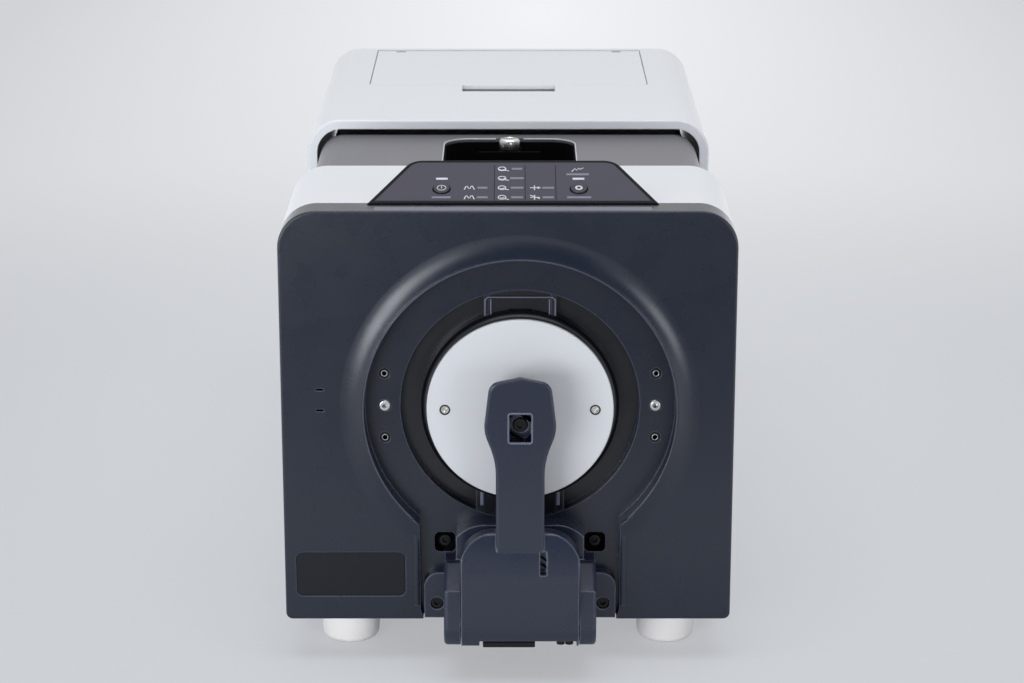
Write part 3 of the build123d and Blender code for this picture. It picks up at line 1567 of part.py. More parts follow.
for name, toward in (("sphere_front_half", -1), ("sphere_rear_half", 1)):
    with BuildPart() as half:
        with BuildSketch(port_section):
            with BuildLine():
                outer = ThreePointArc(
                    (0, sphere_middle + toward * sphere_outer),
                    (sphere_outer * sqrt(0.5), sphere_middle + toward * sphere_outer * sqrt(0.5)),
                    (sphere_outer, sphere_middle),
                )
                Line(outer @ 1, (sphere_inner, sphere_middle))
                inner = ThreePointArc(
                    (sphere_inner, sphere_middle),
                    (sphere_inner * sqrt(0.5), sphere_middle + toward * sphere_inner * sqrt(0.5)),
                    (0, sphere_middle + toward * sphere_inner),
                )
                Line(inner @ 1, outer @ 0)
            make_face()
            with Locations((flange_middle_radius, sphere_middle + toward * flange_half / 2)):
                Rectangle(sphere_flange - sphere_inner - 1, flange_half)
        revolve(axis=port_axis)
        with BuildSketch(port_section):
            reach = sphere_inner
            end = sphere_neck if toward < 0 else chamber_front - fit_gap
            with Locations((neck_radius / 2, (sphere_middle + toward * reach + end) / 2)):
                Rectangle(neck_radius, abs(end - sphere_middle - toward * reach))
        revolve(axis=port_axis)
        with BuildSketch(port_station(sphere_middle)):
            Circle(aperture_radius + aperture_clear if toward < 0 else beam_radius)
        extrude(amount=-toward * 2 * sphere_outer, mode=Mode.SUBTRACT)
    save(half, name)

with BuildPart() as sphere_cradle:
    with BuildSketch(Plane.XY.offset(floor_top)):
        with Locations((port_side, face_y + sphere_middle)):
            Rectangle(2 * stand_half, 2 * stand_offset + 2 * stand_plate)
    extrude(amount=stand_plate)
    for toward in (-1, 1):
        with BuildSketch(station(sphere_middle + toward * stand_offset - stand_plate / 2)):
            with Locations((port_side, (floor_top + stand_height) / 2)):
                Rectangle(2 * stand_half, stand_height - floor_top)
        extrude(amount=-stand_plate)
    with BuildSketch(port_section):
        with BuildLine():
            bow = ThreePointArc(
                (0, sphere_middle - sphere_outer - fit_gap),
                (sphere_outer + fit_gap, sphere_middle),
                (0, sphere_middle + sphere_outer + fit_gap),
            )
            Line(bow @ 1, bow @ 0)
        make_face()
    revolve(axis=port_axis, mode=Mode.SUBTRACT)
save(sphere_cradle, "sphere_cradle")

with BuildPart() as lamp_housings:
    for side in (-1, 1):
        root = port_side + side * (sphere_flange + lamp_clear)
        with BuildSketch(Plane.YZ.offset(root)):
            with Locations((face_y + sphere_middle, port_height)):
                Rectangle(lamp_depth, lamp_height)
        extrude(amount=side * lamp_length)
        fillet(lamp_housings.edges().filter_by(Axis.X).group_by(Axis.X)[-1 if side > 0 else 0], lamp_round)
        with BuildSketch(Plane.YZ.offset(root)):
            with Locations((face_y + sphere_middle, port_height)):
                Rectangle(2 * flange_half + 2 * fit_gap + 2 * sheet, lamp_height)
                Rectangle(2 * flange_half + 2 * fit_gap, lamp_height, mode=Mode.SUBTRACT)
        extrude(amount=-side * (lamp_clear + lamp_grip))
save(lamp_housings, "lamp_housings")

# Sheet-metal deck over the main board, carrying the rear optics
deck_length = deck_back - deck_front
deck_middle = face_y + (deck_front + deck_back) / 2

with BuildPart() as optics_deck:
    with BuildSketch(Plane.XY.offset(deck_height)):
        with Locations((0, deck_middle)):
            Rectangle(2 * deck_half, deck_length)
    extrude(amount=sheet)
    for side in (-1, 1):
        with BuildSketch(Plane.YZ.offset(side * deck_half)):
            with Locations((deck_middle, (floor_top + deck_top) / 2)):
                Rectangle(deck_length, deck_top - floor_top)
            with Locations((deck_middle, (floor_top + deck_height) / 2)):
                Rectangle(
                    deck_length - 2 * deck_leg,
                    deck_height - floor_top - 2 * deck_rail,
                    mode=Mode.SUBTRACT,
                )
        extrude(amount=-side * sheet)
save(optics_deck, "optics_deck")

barrel_front = chamber_back + fit_gap
spectro_front = barrel_front + lens_barrel_length + fit_gap

with BuildPart() as lens_barrel:
    with BuildSketch(port_station(barrel_front)):
        Circle(barrel_outer)
        Circle(barrel_inner, mode=Mode.SUBTRACT)
    extrude(amount=-lens_barrel_length)
save(lens_barrel, "lens_barrel")

lens_middle = barrel_front + lens_barrel_length / 2
lens_edge = barrel_inner - fit_gap
lens_curve = (lens_edge ** 2 + lens_bulge ** 2) / (2 * lens_bulge)
lens_waist = lens_bulge + sqrt(lens_curve ** 2 - lens_edge ** 2 / 4) - lens_curve

with BuildPart() as receiving_lens:
    with BuildSketch(port_section):
        with BuildLine():
            front_bow = ThreePointArc(
                (0, lens_middle - lens_thickness / 2 - lens_bulge),
                (lens_edge / 2, lens_middle - lens_thickness / 2 - lens_waist),
                (lens_edge, lens_middle - lens_thickness / 2),
            )
            rim = Line(front_bow @ 1, (lens_edge, lens_middle + lens_thickness / 2))
            back_bow = ThreePointArc(
                rim @ 1,
                (lens_edge / 2, lens_middle + lens_thickness / 2 + lens_waist),
                (0, lens_middle + lens_thickness / 2 + lens_bulge),
            )
            Line(back_bow @ 1, front_bow @ 0)
        make_face()
    revolve(axis=port_axis)
save(receiving_lens, "receiving_lens")

with BuildPart() as spectrograph:
    with BuildSketch(Plane.XY.offset(deck_top)):
        with Locations((port_side, face_y + spectro_front + spectro_length / 2)):
            Rectangle(spectro_width, spectro_length)
    extrude(amount=spectro_height)
    chamfer(spectrograph.edges().filter_by(Axis.Z), spectro_bevel)
    fillet(spectrograph.faces().sort_by(Axis.Z)[-1].edges(), spectro_round)
    with BuildSketch(port_station(spectro_front)):
        Circle(barrel_inner)
    extrude(amount=-lens_thickness, mode=Mode.SUBTRACT)
save(spectrograph, "spectrograph")

# Main board on its standoffs, and the power supply
standoff_points = [
    (side * (main_board_half - standoff_inset), face_y + main_board_front + end)
    for side in (-1, 1)
    for end in (standoff_inset, main_board_length - standoff_inset)
]
board_height = floor_top + standoff_height

with BuildPart() as standoffs:
    with BuildSketch(Plane.XY.offset(floor_top)):
        with Locations(*standoff_points):
            RegularPolygon(standoff_radius, 6)
    extrude(amount=standoff_height)
save(standoffs, "standoffs")

with BuildPart() as main_board:
    with BuildSketch(Plane.XY.offset(board_height)):
        with Locations((0, face_y + main_board_front + main_board_length / 2)):
            Rectangle(2 * main_board_half, main_board_length)
    extrude(amount=main_board_sheet)
    with BuildSketch(Plane.XY.offset(board_height + main_board_sheet)):
        with Locations((0, face_y + main_board_front)):
            with Locations(*large_chip_places):
                Rectangle(large_chip, large_chip)
            with Locations(small_chip_place):
                with GridLocations(small_chip_pitch, small_chip_pitch, 2, 2):
                    Rectangle(small_chip, small_chip)
            with Locations((header_side, main_board_length - header_inset)):
                Rectangle(header_length, header_width)
    extrude(amount=chip_height)
save(main_board, "main_board")

with BuildPart() as power_supply:
    with BuildSketch(Plane.XY.offset(floor_top)):
        with Locations((supply_side, face_y + supply_front + supply_length / 2)):
            Rectangle(supply_width, supply_length)
    extrude(amount=supply_height)
    fillet(power_supply.edges().filter_by(Axis.Z), supply_round)
    with BuildSketch(Plane.XY.offset(floor_top + supply_height)):
        with Locations((supply_side, face_y + supply_front + supply_length / 2)):
            with GridLocations(vent_pitch, 0, vent_count, 1):
                SlotOverall(vent_length, vent_width, rotation=90)
    extrude(amount=-sheet, mode=Mode.SUBTRACT)
save(power_supply, "power_supply")

# Fan behind its guard
fan_back = rear_face + free_gap - fit_gap
fan_spot = (fan_side, fan_middle)

with BuildPart() as fan_frame:
    with BuildSketch(station(fan_back - fan_depth)):
        with Locations(fan_spot):
            RectangleRounded(fan_size, fan_size, fan_corner)
            Circle(fan_bore, mode=Mode.SUBTRACT)
    extrude(amount=-fan_depth)
    with BuildSketch(station(fan_back - fan_depth)):
        with Locations(fan_spot):
            Rectangle(2 * fan_bore + 1, fan_strut)
            Rectangle(fan_strut, 2 * fan_bore + 1)
            Circle(fan_hub)
    extrude(amount=-sheet)
    with BuildSketch(station(fan_back - fan_depth + sheet - 1)):
        with Locations(fan_spot):
            Circle(fan_spindle)
    extrude(amount=-fan_depth + sheet + spindle_gap)
save(fan_frame, "fan_frame")

hub_front = fan_back - fan_depth + sheet + free_gap
hub_length = fan_depth - sheet - hub_gap

with BuildPart() as fan_rotor:
    with BuildSketch(station(hub_front)):
        with Locations(fan_spot):
            Circle(fan_hub)
    extrude(amount=-hub_length)
    for blade in range(fan_blades):
        turn = 2 * pi * blade / fan_blades
        root = Plane(
            origin=(fan_side, face_y + hub_front + hub_length / 2, fan_middle),
            x_dir=(0, 1, 0),
            z_dir=(cos(turn), 0, sin(turn)),
        )
        with BuildSketch(root.offset(fan_hub - 1)):
            Rectangle(blade_chord, blade_sheet, rotation=blade_pitch)
        extrude(amount=fan_blade_tip - fan_hub + 1)
    with BuildSketch(station(hub_front - 1)):
        with Locations(fan_spot):
            Circle(fan_spindle + running_gap)
    extrude(amount=-hub_length, mode=Mode.SUBTRACT)
save(fan_rotor, "fan_rotor")

# Mains inlet, switch and data socket on the rear panel
rear_skin = rear_face + free_gap + rear_sheet
contact_points = [
    (inlet_side - contact_pitch, socket_height - contact_low),
    (inlet_side, socket_height + contact_high),
    (inlet_side + contact_pitch, socket_height - contact_low),
]
frame_width = rocker_width + 2 * rocker_frame
frame_height = rocker_height + 2 * rocker_frame
rocker_spot = (face_y + rear_skin - rocker_pivot, socket_height)

with BuildPart() as mains_inlet:
    with BuildSketch(station(rear_skin)):
        with Locations((inlet_side, socket_height)):
            RectangleRounded(inlet_width + 2 * inlet_flange, inlet_height + 2 * inlet_flange, inlet_corner)
    extrude(amount=-flange_sheet)
    with BuildSketch(station(rear_skin)):
        with Locations((inlet_side, socket_height)):
            Rectangle(inlet_width, inlet_height)
    extrude(amount=inlet_depth)
    with BuildSketch(station(rear_skin + flange_sheet)):
        with Locations((inlet_side, socket_height)):
            Rectangle(inlet_width - 2 * inlet_side_wall, inlet_height - 2 * inlet_top_wall)
    extrude(amount=inlet_depth + flange_sheet - inlet_back, mode=Mode.SUBTRACT)
    with BuildSketch(station(rear_skin - inlet_depth + inlet_back)):
        with Locations(*contact_points):
            Rectangle(contact_width, contact_height)
    extrude(amount=inlet_back + contact_gap - inlet_depth)
save(mains_inlet, "mains_inlet")

with BuildPart() as switch_frame:
    with BuildSketch(station(rear_skin + flange_sheet)):
        with Locations((switch_side, socket_height)):
            RectangleRounded(frame_width + 2 * switch_flange, frame_height + 2 * switch_flange, switch_corner)
    extrude(amount=flange_sheet)
    with BuildSketch(station(rear_skin)):
        with Locations((switch_side, socket_height)):
            Rectangle(frame_width, frame_height)
    extrude(amount=rocker_depth)
    with BuildSketch(station(rear_skin + flange_sheet)):
        with Locations((switch_side, socket_height)):
            Rectangle(rocker_width + 2 * free_gap, rocker_height + 2 * free_gap)
    extrude(amount=rocker_depth + flange_sheet - switch_back, mode=Mode.SUBTRACT)
    for side in (-1, 1):
        with BuildSketch(Plane.YZ.offset(switch_side + side * frame_width / 2)):
            with Locations(rocker_spot):
                Circle(rocker_pin)
        extrude(amount=-side * (rocker_frame + rocker_pin_reach))
save(switch_frame, "switch_frame")

rocker_turn = radians(rocker_tilt)
rocker_plane = Plane(
    origin=(switch_side, *rocker_spot),
    x_dir=(0, cos(rocker_turn), sin(rocker_turn)),
    z_dir=(1, 0, 0),
)

with BuildPart() as switch_rocker:
    with BuildSketch(rocker_plane):
        with BuildLine():
            Polyline(
                (rocker_pivot + rocker_proud, -rocker_reach),
                (rocker_pivot + rocker_proud / 2, 0),
                (rocker_pivot + rocker_proud, rocker_reach),
                (-rocker_pivot / 2, rocker_narrow),
                (-rocker_pivot, 0),
                (-rocker_pivot / 2, -rocker_narrow),
                close=True,
            )
        make_face()
    extrude(amount=rocker_width / 2, both=True)
    with BuildSketch(rocker_plane):
        Circle(rocker_pin + running_gap)
    extrude(amount=rocker_width, both=True, mode=Mode.SUBTRACT)
save(switch_rocker, "switch_rocker")

with BuildPart() as usb_socket:
    with BuildSketch(station(rear_skin + usb_proud)):
        with Locations((usb_side, socket_height)):
            Rectangle(usb_width, usb_height)
            Rectangle(usb_width - 2 * usb_wall, usb_height - 2 * usb_wall, mode=Mode.SUBTRACT)
    extrude(amount=usb_depth)
    with BuildSketch(station(rear_skin + usb_proud - usb_depth)):
        with Locations((usb_side, socket_height)):
            Rectangle(usb_width, usb_height)
    extrude(amount=-usb_back)
    with BuildSketch(station(rear_skin + usb_proud - usb_depth)):
        with Locations((usb_side, socket_height)):
            Rectangle(usb_width / 2, usb_tongue)
    extrude(amount=usb_mouth - usb_depth)
save(usb_socket, "usb_socket")
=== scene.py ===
# %% [markdown]
# # Dressing a benchtop spectrophotometer
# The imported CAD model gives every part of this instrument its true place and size.
# This lesson adds what CAD leaves out: finishes, printed marks, screw recesses,
# wound springs, beads on edges, a camera, soft light and a floor. Before each step a
# few sentences say what the thing is on the real instrument, how it could be made in
# Blender, and why this way was chosen.

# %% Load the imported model
import json
import math

import bmesh
import bpy
from mathutils import Matrix, Vector


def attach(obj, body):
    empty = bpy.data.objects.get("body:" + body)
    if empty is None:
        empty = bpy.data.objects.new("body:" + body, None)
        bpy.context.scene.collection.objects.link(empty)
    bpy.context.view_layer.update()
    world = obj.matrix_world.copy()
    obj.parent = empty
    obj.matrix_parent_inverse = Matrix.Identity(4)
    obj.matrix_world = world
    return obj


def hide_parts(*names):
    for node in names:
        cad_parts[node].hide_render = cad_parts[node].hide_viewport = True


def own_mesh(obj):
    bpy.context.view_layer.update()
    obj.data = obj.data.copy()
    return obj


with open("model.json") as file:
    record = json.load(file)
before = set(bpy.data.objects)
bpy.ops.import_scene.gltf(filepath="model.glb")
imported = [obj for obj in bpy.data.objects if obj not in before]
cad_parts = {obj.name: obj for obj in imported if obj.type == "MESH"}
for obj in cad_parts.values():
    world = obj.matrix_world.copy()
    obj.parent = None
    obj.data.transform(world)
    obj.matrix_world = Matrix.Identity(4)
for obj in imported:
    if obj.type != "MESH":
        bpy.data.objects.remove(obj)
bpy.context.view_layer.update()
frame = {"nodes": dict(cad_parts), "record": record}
nodes = frame["nodes"]

# %% [markdown]
# ## The camera
# The picture was taken from straight in front and a little above, with a long lens,
# so upright edges stay almost parallel. A camera could be aimed by eye, but its place
# and lens follow from a few sizes of the instrument, so they are written as numbers:
# 1.5 metres in front of the panel, tilted down by almost seventeen degrees.

# %% Camera
long_lens = bpy.data.cameras.new("bench_camera")
long_lens.sensor_fit = "HORIZONTAL"
long_lens.sensor_width = 36.0
long_lens.lens = 95.76
camera = bpy.data.objects.new("bench_camera", long_lens)
camera.location = (0.00239, -1.7368, 0.6536)
camera.rotation_euler = (math.radians(73.22), 0.0, 0.0)
bpy.context.scene.collection.objects.link(camera)
bpy.context.scene.camera = camera
bpy.context.scene.view_settings.view_transform = "Standard"
print("camera at", tuple(camera.location), "lens", long_lens.lens)

# %% [markdown]
# ## Node trees as sums
# Every finish below is a tree of nodes. Placing nodes one by one hides what they work
# out, so one small class wraps a socket and lets sums be written as in any Python
# script: each operator adds a Math node. Another class keeps the tree, and its one
# method adds any other node from its type, its settings and what its sockets hold.

# %% Sums on sockets
class Wire:
    """One output socket; a sum written on it adds a Math node to its tree."""

    def __init__(self, graph, socket):
        self.graph = graph
        self.socket = socket

    def work_out(self, operation, first, second):
        return self.graph.node("ShaderNodeMath", {"operation": operation}, {0: first, 1: second})

    def __add__(self, other):
        return self.work_out("ADD", self, other)

    def __sub__(self, other):
        return self.work_out("SUBTRACT", self, other)

    def __rsub__(self, other):
        return self.work_out("SUBTRACT", other, self)

    def __mul__(self, other):
        return self.work_out("MULTIPLY", self, other)

    def __gt__(self, other):
        return self.work_out("GREATER_THAN", self, other)

    __radd__ = __add__
    __rmul__ = __mul__


class Graph:
    """A node tree that is filled from Python."""

    def __init__(self, tree):
        self.tree = tree

    def node(self, kind, settings=None, sockets=None, out=0):
        """Adds a node: its settings first, then a value or a link for each socket."""
        made = self.tree.nodes.new(kind)
        for setting, value in (settings or {}).items():
            if setting == "stops":
                for stop, (at, colour) in zip(made.color_ramp.elements, value):
                    stop.position = at
                    stop.color = colour
            else:
                setattr(made, setting, value)
        for socket, value in (sockets or {}).items():
            if isinstance(value, Wire):
                self.tree.links.new(value.socket, made.inputs[socket])
            else:
                made.inputs[socket].default_value = value
        return Wire(self, made.outputs[out]) if len(made.outputs) else made


trial = bpy.data.materials.new("trial")
trial.use_nodes = True
ramp = Graph(trial.node_tree).node("ShaderNodeValToRGB", {}, {0: 0.5})
half = 1 - ramp * 0.5
print("a sum made", len(trial.node_tree.nodes) - 2, "nodes and ends in", half.socket.node.name)
bpy.data.materials.remove(trial)

# %% [markdown]
# ## Small tools for finishes
# Colours are easiest to judge as they look on a screen, from 0 to 255, but Blender
# mixes light, so they are turned into linear values first. Patterns are read from
# Object coordinates, in metres, so that a grain of half a millimetre is written as
# 0.0005 and has that size on every part. Sums on vectors, fades and mixed colours come
# up again and again, so each has a short function too.

# %% Colours and patterns
def paint(red, green, blue):
    """A colour as it looks on a screen, 0 to 255, in the linear values of light."""
    levels = [value / 255 for value in (red, green, blue)]
    linear = [v / 12.92 if v <= 0.04045 else ((v + 0.055) / 1.055) ** 2.4 for v in levels]
    return (*linear, 1.0)


def shaded(colour, share):
    """The same colour, lighter or darker by a share."""
    return (*(value * share for value in colour[:3]), 1.0)


def new_finish(name):
    """An empty material and the graph of its nodes."""
    material = bpy.data.materials.new(name)
    material.use_nodes = True
    material.node_tree.nodes.clear()
    return material, Graph(material.node_tree)


def on_vectors(graph, operation, first, second=(0.0, 0.0, 0.0)):
    """A sum on vectors; a dot product or a length comes out as a number."""
    out = 1 if operation in ("DOT_PRODUCT", "LENGTH") else 0
    return graph.node("ShaderNodeVectorMath", {"operation": operation}, {0: first, 1: second}, out)


def patches(graph, across, detail=2.0, stretch=None):
    """Soft noise from 0 to 1 with blobs about that many metres across."""
    place = graph.node("ShaderNodeTexCoord", out="Object")
    if stretch:
        place = on_vectors(graph, "MULTIPLY", place, stretch)
    return graph.node("ShaderNodeTexNoise", {},
                      {"Vector": place, "Scale": 1 / across, "Detail": detail})


def fade(graph, value, start, end, low=0.0, high=1.0):
    """Goes smoothly from low to high while the value goes from start to end."""
    return graph.node("ShaderNodeMapRange", {"interpolation_type": "SMOOTHSTEP"},
                      {0: value, 1: start, 2: end, 3: low, 4: high})


def blend_colours(graph, share, first, second, way="MIX"):
    """Mixes two colours by a share from 0 to 1."""
    settings = {"data_type": "RGBA", "blend_type": way}
    return graph.node("ShaderNodeMix", settings, {0: share, 6: first, 7: second}, out=2)


def relief(graph, height, depth, edge=0.0):
    """Tilts the surface by a pattern so many metres deep, and rounds edges by a radius."""
    sockets = {"Height": height, "Distance": depth}
    if edge:
        sockets["Normal"] = graph.node("ShaderNodeBevel", {"samples": 4}, {"Radius": edge})
    return graph.node("ShaderNodeBump", {}, sockets)


def cover(graph, **sockets):
    """Puts one Principled surface on the finish, its sockets named with _ for spaces."""
    named = {name.replace("_", " "): value for name, value in sockets.items()}
    shader = graph.node("ShaderNodeBsdfPrincipled", {}, named)
    graph.node("ShaderNodeOutputMaterial", {}, {"Surface": shader})


print("the panel's colour in linear light:", [round(v, 4) for v in paint(22, 28, 42)[:3]])

# %% [markdown]
# ## Moulded plastic
# The front panel, the arm and the control panel are moulded with a fine texture that
# looks matt from afar and sparkles softly near a lamp. A picture of such a texture
# would blur when seen closely, so it is made of noise: one noise for the fine grain,
# one for wiped patches in the gloss, and one for the slow drift of the colour.
# The corners of a dark moulding look paler than its faces, because they are rounded and
# catch light from many sides. Rounding every mesh would cost many faces, so the Bevel
# node bends the normals there instead, and where the bent normal leaves the true one, a
# paler colour is mixed into the base colour: a painted highlight along every corner.

# %% Moulded plastic
def edges(graph, radius, spread=4.0):
    """One along the corners of a part and nothing on its faces, over that radius."""
    bent = graph.node("ShaderNodeBevel", {"samples": 6}, {"Radius": radius})
    plain = graph.node("ShaderNodeNewGeometry", out="Normal")
    same = on_vectors(graph, "DOT_PRODUCT", bent, plain)
    return graph.node("ShaderNodeClamp", {}, {0: (1.0 - same) * spread})


def moulded(name, colour, rough, grain=0.0006, depth=0.00002, drift=0.06, edge=0.0008,
            edge_highlight=None, **extra):
    """A plastic with that roughness, a fine grain and, if an edge highlight is given, a painted
    highlight on its corners.
    """
    material, graph = new_finish(name)
    slow = patches(graph, 0.06, 3.0)
    fine = patches(graph, grain, 2.0)
    tint = blend_colours(graph, slow, shaded(colour, 1 - drift), shaded(colour, 1 + drift))
    # painted highlight: a paler colour mixed into the base colour along the corners
    if edge_highlight:
        tint = blend_colours(graph, edges(graph, edge), tint, edge_highlight)
    wiped = patches(graph, 0.02, 3.0)
    cover(graph, Base_Color=tint, Roughness=rough - 0.05 + wiped * 0.1,
          Normal=relief(graph, fine, depth, edge), **extra)
    return material


# edge_highlight gives the paler colour of a finish's painted highlight on its corners
finishes = {
    "panel_plastic": moulded("panel_plastic", paint(22, 28, 42), 0.28, depth=0.000008,
                             edge=0.0012, edge_highlight=paint(84, 90, 106)),
    "arm_plastic": moulded("arm_plastic", paint(34, 39, 55), 0.28, depth=0.000008,
                           edge=0.0014, edge_highlight=paint(112, 118, 136)),
    "collar_plastic": moulded("collar_plastic", paint(8, 10, 18), 0.30, edge=0.0012,
                              edge_highlight=paint(70, 74, 88)),
    # painted highlight: a paler plastic for beads, standing for the light that rounded edges catch
    "pale_edge_highlight": moulded("pale_edge_highlight", paint(96, 101, 118), 0.3, grain=0.0004,
                           depth=0.000006),
    # painted light: the pale colour of the lit top face above the panel
    "sill_painted_light": moulded("sill_painted_light", paint(124, 123, 134), 0.4, depth=0.000006,
                            Specular_IOR_Level=0.3),
    # painted highlight: a paler plastic for the crest bead of the port's rim
    "crest_highlight": moulded("crest_highlight", paint(58, 63, 78), 0.3, grain=0.0004, depth=0.000006),
    "control_dark": moulded("control_dark", paint(8, 8, 12), 0.4, Specular_IOR_Level=0.12),
    "legend_sheet": moulded("legend_sheet", paint(64, 62, 74), 0.40, grain=0.0004,
                            depth=0.00001, Specular_IOR_Level=0.3),
    "button_plastic": moulded("button_plastic", paint(40, 40, 50), 0.32, depth=0.000006),
    "foot_plastic": moulded("foot_plastic", paint(250, 245, 243), 0.55, grain=0.0008),
    "rail_plastic": moulded("rail_plastic", paint(214, 214, 210), 0.42),
    "tray_plastic": moulded("tray_plastic", paint(206, 206, 205), 0.50),
    "mask_white": moulded("mask_white", paint(206, 206, 209), 0.42, grain=0.0004,
                          depth=0.00001, drift=0.015),
    "label_ink": moulded("label_ink", paint(128, 127, 138), 0.5, Specular_IOR_Level=0.3),
    "lamp_plastic": moulded("lamp_plastic", paint(46, 46, 49), 0.50),
    "pad_rubber": moulded("pad_rubber", paint(40, 40, 42), 0.72, grain=0.0003,
                          depth=0.00004),
}
print("moulded finishes:", len(finishes))

# %% [markdown]
# ## Sprayed enamel
# The hood and the shells are metal sprayed with a satin white enamel, which has a very
# faint orange peel: ripples of one or two millimetres, much flatter than a moulded
# grain. The same recipe, with other colours, serves the grey cover and the black parts.

# %% Sprayed enamel
def enamelled(name, colour, rough, peel=0.0016, depth=0.000012, drift=0.012, edge=0.0006,
              **extra):
    """A sprayed paint with a faint orange peel."""
    material, graph = new_finish(name)
    slow = patches(graph, 0.11, 2.0)
    ripple = patches(graph, peel, 1.0)
    dust = patches(graph, 0.0004, 1.0)
    tint = blend_colours(graph, slow, shaded(colour, 1 - drift), shaded(colour, 1 + drift))
    cover(graph, Base_Color=tint, Roughness=rough + dust * 0.08,
          Normal=relief(graph, ripple + dust * 0.3, depth, edge), **extra)
    return material


finishes["white_shell"] = enamelled("white_shell", paint(229, 230, 233), 0.36, edge=0.001)
finishes["cover_grey"] = enamelled("cover_grey", paint(112, 110, 115), 0.38)
finishes["rear_grey"] = enamelled("rear_grey", paint(98, 98, 102), 0.42)
finishes["liner_black"] = enamelled("liner_black", paint(9, 9, 11), 0.7,
                                    Specular_IOR_Level=0.05)
finishes["plate_foil"] = enamelled("plate_foil", paint(12, 15, 24), 0.38, drift=0.05,
                                   Specular_IOR_Level=0.3)
finishes["black_steel"] = enamelled("black_steel", paint(13, 13, 16), 0.30, drift=0.08,
                                    edge=0.0002, Specular_IOR_Level=0.3)
print("finishes so far:", len(finishes))

# %% [markdown]
# ## Bare metal
# Screws, the thumb screw and the springs are bare or plated metal. Their reflections
# are drawn out by fine tool marks, so a noise that is squeezed along one axis varies
# the roughness and tilts the surface a little.

# %% Bare metal
def machined(name, colour, rough, marks=(1.0, 1.0, 14.0), across=0.004, depth=0.000006):
    """A metal with fine tool marks and slightly uneven polish."""
    material, graph = new_finish(name)
    lines = patches(graph, across, 3.0, marks)
    cloud = patches(graph, 0.012, 2.0)
    tint = blend_colours(graph, cloud, shaded(colour, 0.92), colour)
    cover(graph, Base_Color=tint, Metallic=1.0, Roughness=rough + lines * 0.14,
          Normal=relief(graph, lines, depth))
    return material


finishes["zinc_steel"] = machined("zinc_steel", paint(205, 205, 204), 0.30)
finishes["bright_steel"] = machined("bright_steel", paint(226, 225, 220), 0.20)
finishes["brass"] = machined("brass", paint(205, 178, 118), 0.26)
finishes["bronze"] = machined("bronze", paint(176, 137, 92), 0.42)
finishes["spring_steel"] = machined("spring_steel", paint(118, 118, 124), 0.28)
finishes["sphere_alloy"] = machined("sphere_alloy", paint(214, 214, 216), 0.36)
finishes["bracket_alloy"] = machined("bracket_alloy", paint(204, 204, 207), 0.34,
                                     (14.0, 1.0, 1.0))
finishes["spectro_alloy"] = machined("spectro_alloy", paint(54, 54, 58), 0.40)
finishes["supply_steel"] = machined("supply_steel", paint(190, 190, 192), 0.36,
                                    (1.0, 14.0, 1.0))
print("finishes so far:", len(finishes))

# %% [markdown]
# ## Lacquered board, lens and lamp covers
# Three finishes are left that belong to no family: the green circuit boards with their
# faint copper tracks under the lacquer, the glass of the receiving lens, and the pale
# diffusing covers of the two status lamps, which glow a little even when daylight is
# stronger.

# %% Boards, glass and lamp covers
def board_lacquer(name):
    """Green lacquer over faint copper tracks that run both ways."""
    material, graph = new_finish(name)
    place = graph.node("ShaderNodeTexCoord", out="Object")
    bricks = {"Vector": place, "Scale": 260.0, "Mortar Size": 0.03, "Color1": (1, 1, 1, 1),
              "Color2": (0.8, 0.8, 0.8, 1), "Mortar": (0, 0, 0, 1)}
    tracks = graph.node("ShaderNodeTexBrick", {}, bricks, out=1)
    tint = blend_colours(graph, tracks, paint(34, 96, 62), paint(60, 128, 84))
    cover(graph, Base_Color=tint, Roughness=0.24 + patches(graph, 0.01) * 0.12,
          Normal=relief(graph, tracks, 0.00003), Coat_Weight=0.4)
    return material


def clear_glass(name):
    """Glass with the faintest haze of dust."""
    material, graph = new_finish(name)
    haze = patches(graph, 0.004, 3.0)
    cover(graph, Base_Color=(0.96, 0.98, 0.98, 1.0), Roughness=0.01 + haze * 0.03,
          IOR=1.52, Transmission_Weight=1.0)
    return material


def lamp_cover(name):
    """A milky cover whose brightness varies in soft clouds and which glows faintly."""
    material, graph = new_finish(name)
    cloud = patches(graph, 0.002, 2.0)
    glow = blend_colours(graph, cloud, paint(188, 191, 196), paint(206, 208, 212))
    cover(graph, Base_Color=glow, Roughness=0.25 + cloud * 0.1, Emission_Color=glow,
          Emission_Strength=0.12, Coat_Weight=0.3)
    return material


finishes["board_green"] = board_lacquer("board_green")
finishes["lens_glass"] = clear_glass("lens_glass")
finishes["light_lens"] = lamp_cover("light_lens")
print("finishes:", len(finishes))

# %% [markdown]
# ## Hand the finishes to the CAD parts
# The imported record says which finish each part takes. The parts keep their meshes and
# only their material slots are filled.

# %% Finishes on the CAD parts
for part in frame["record"]["subparts"]:
    for place in nodes[part["node"]].material_slots:
        place.material = finishes[part["material_slot"]]

# %% [markdown]
# ## Places on the instrument
# The CAD frame is in metres, but the instrument is easier to talk about in
# millimetres: how far to the right, how deep behind the front panel's face, how high
# above the table. One function turns such a place into a matrix whose third axis
# points where the piece faces, so a piece can be built flat and then stood up. Places
# that several pieces share are named once.

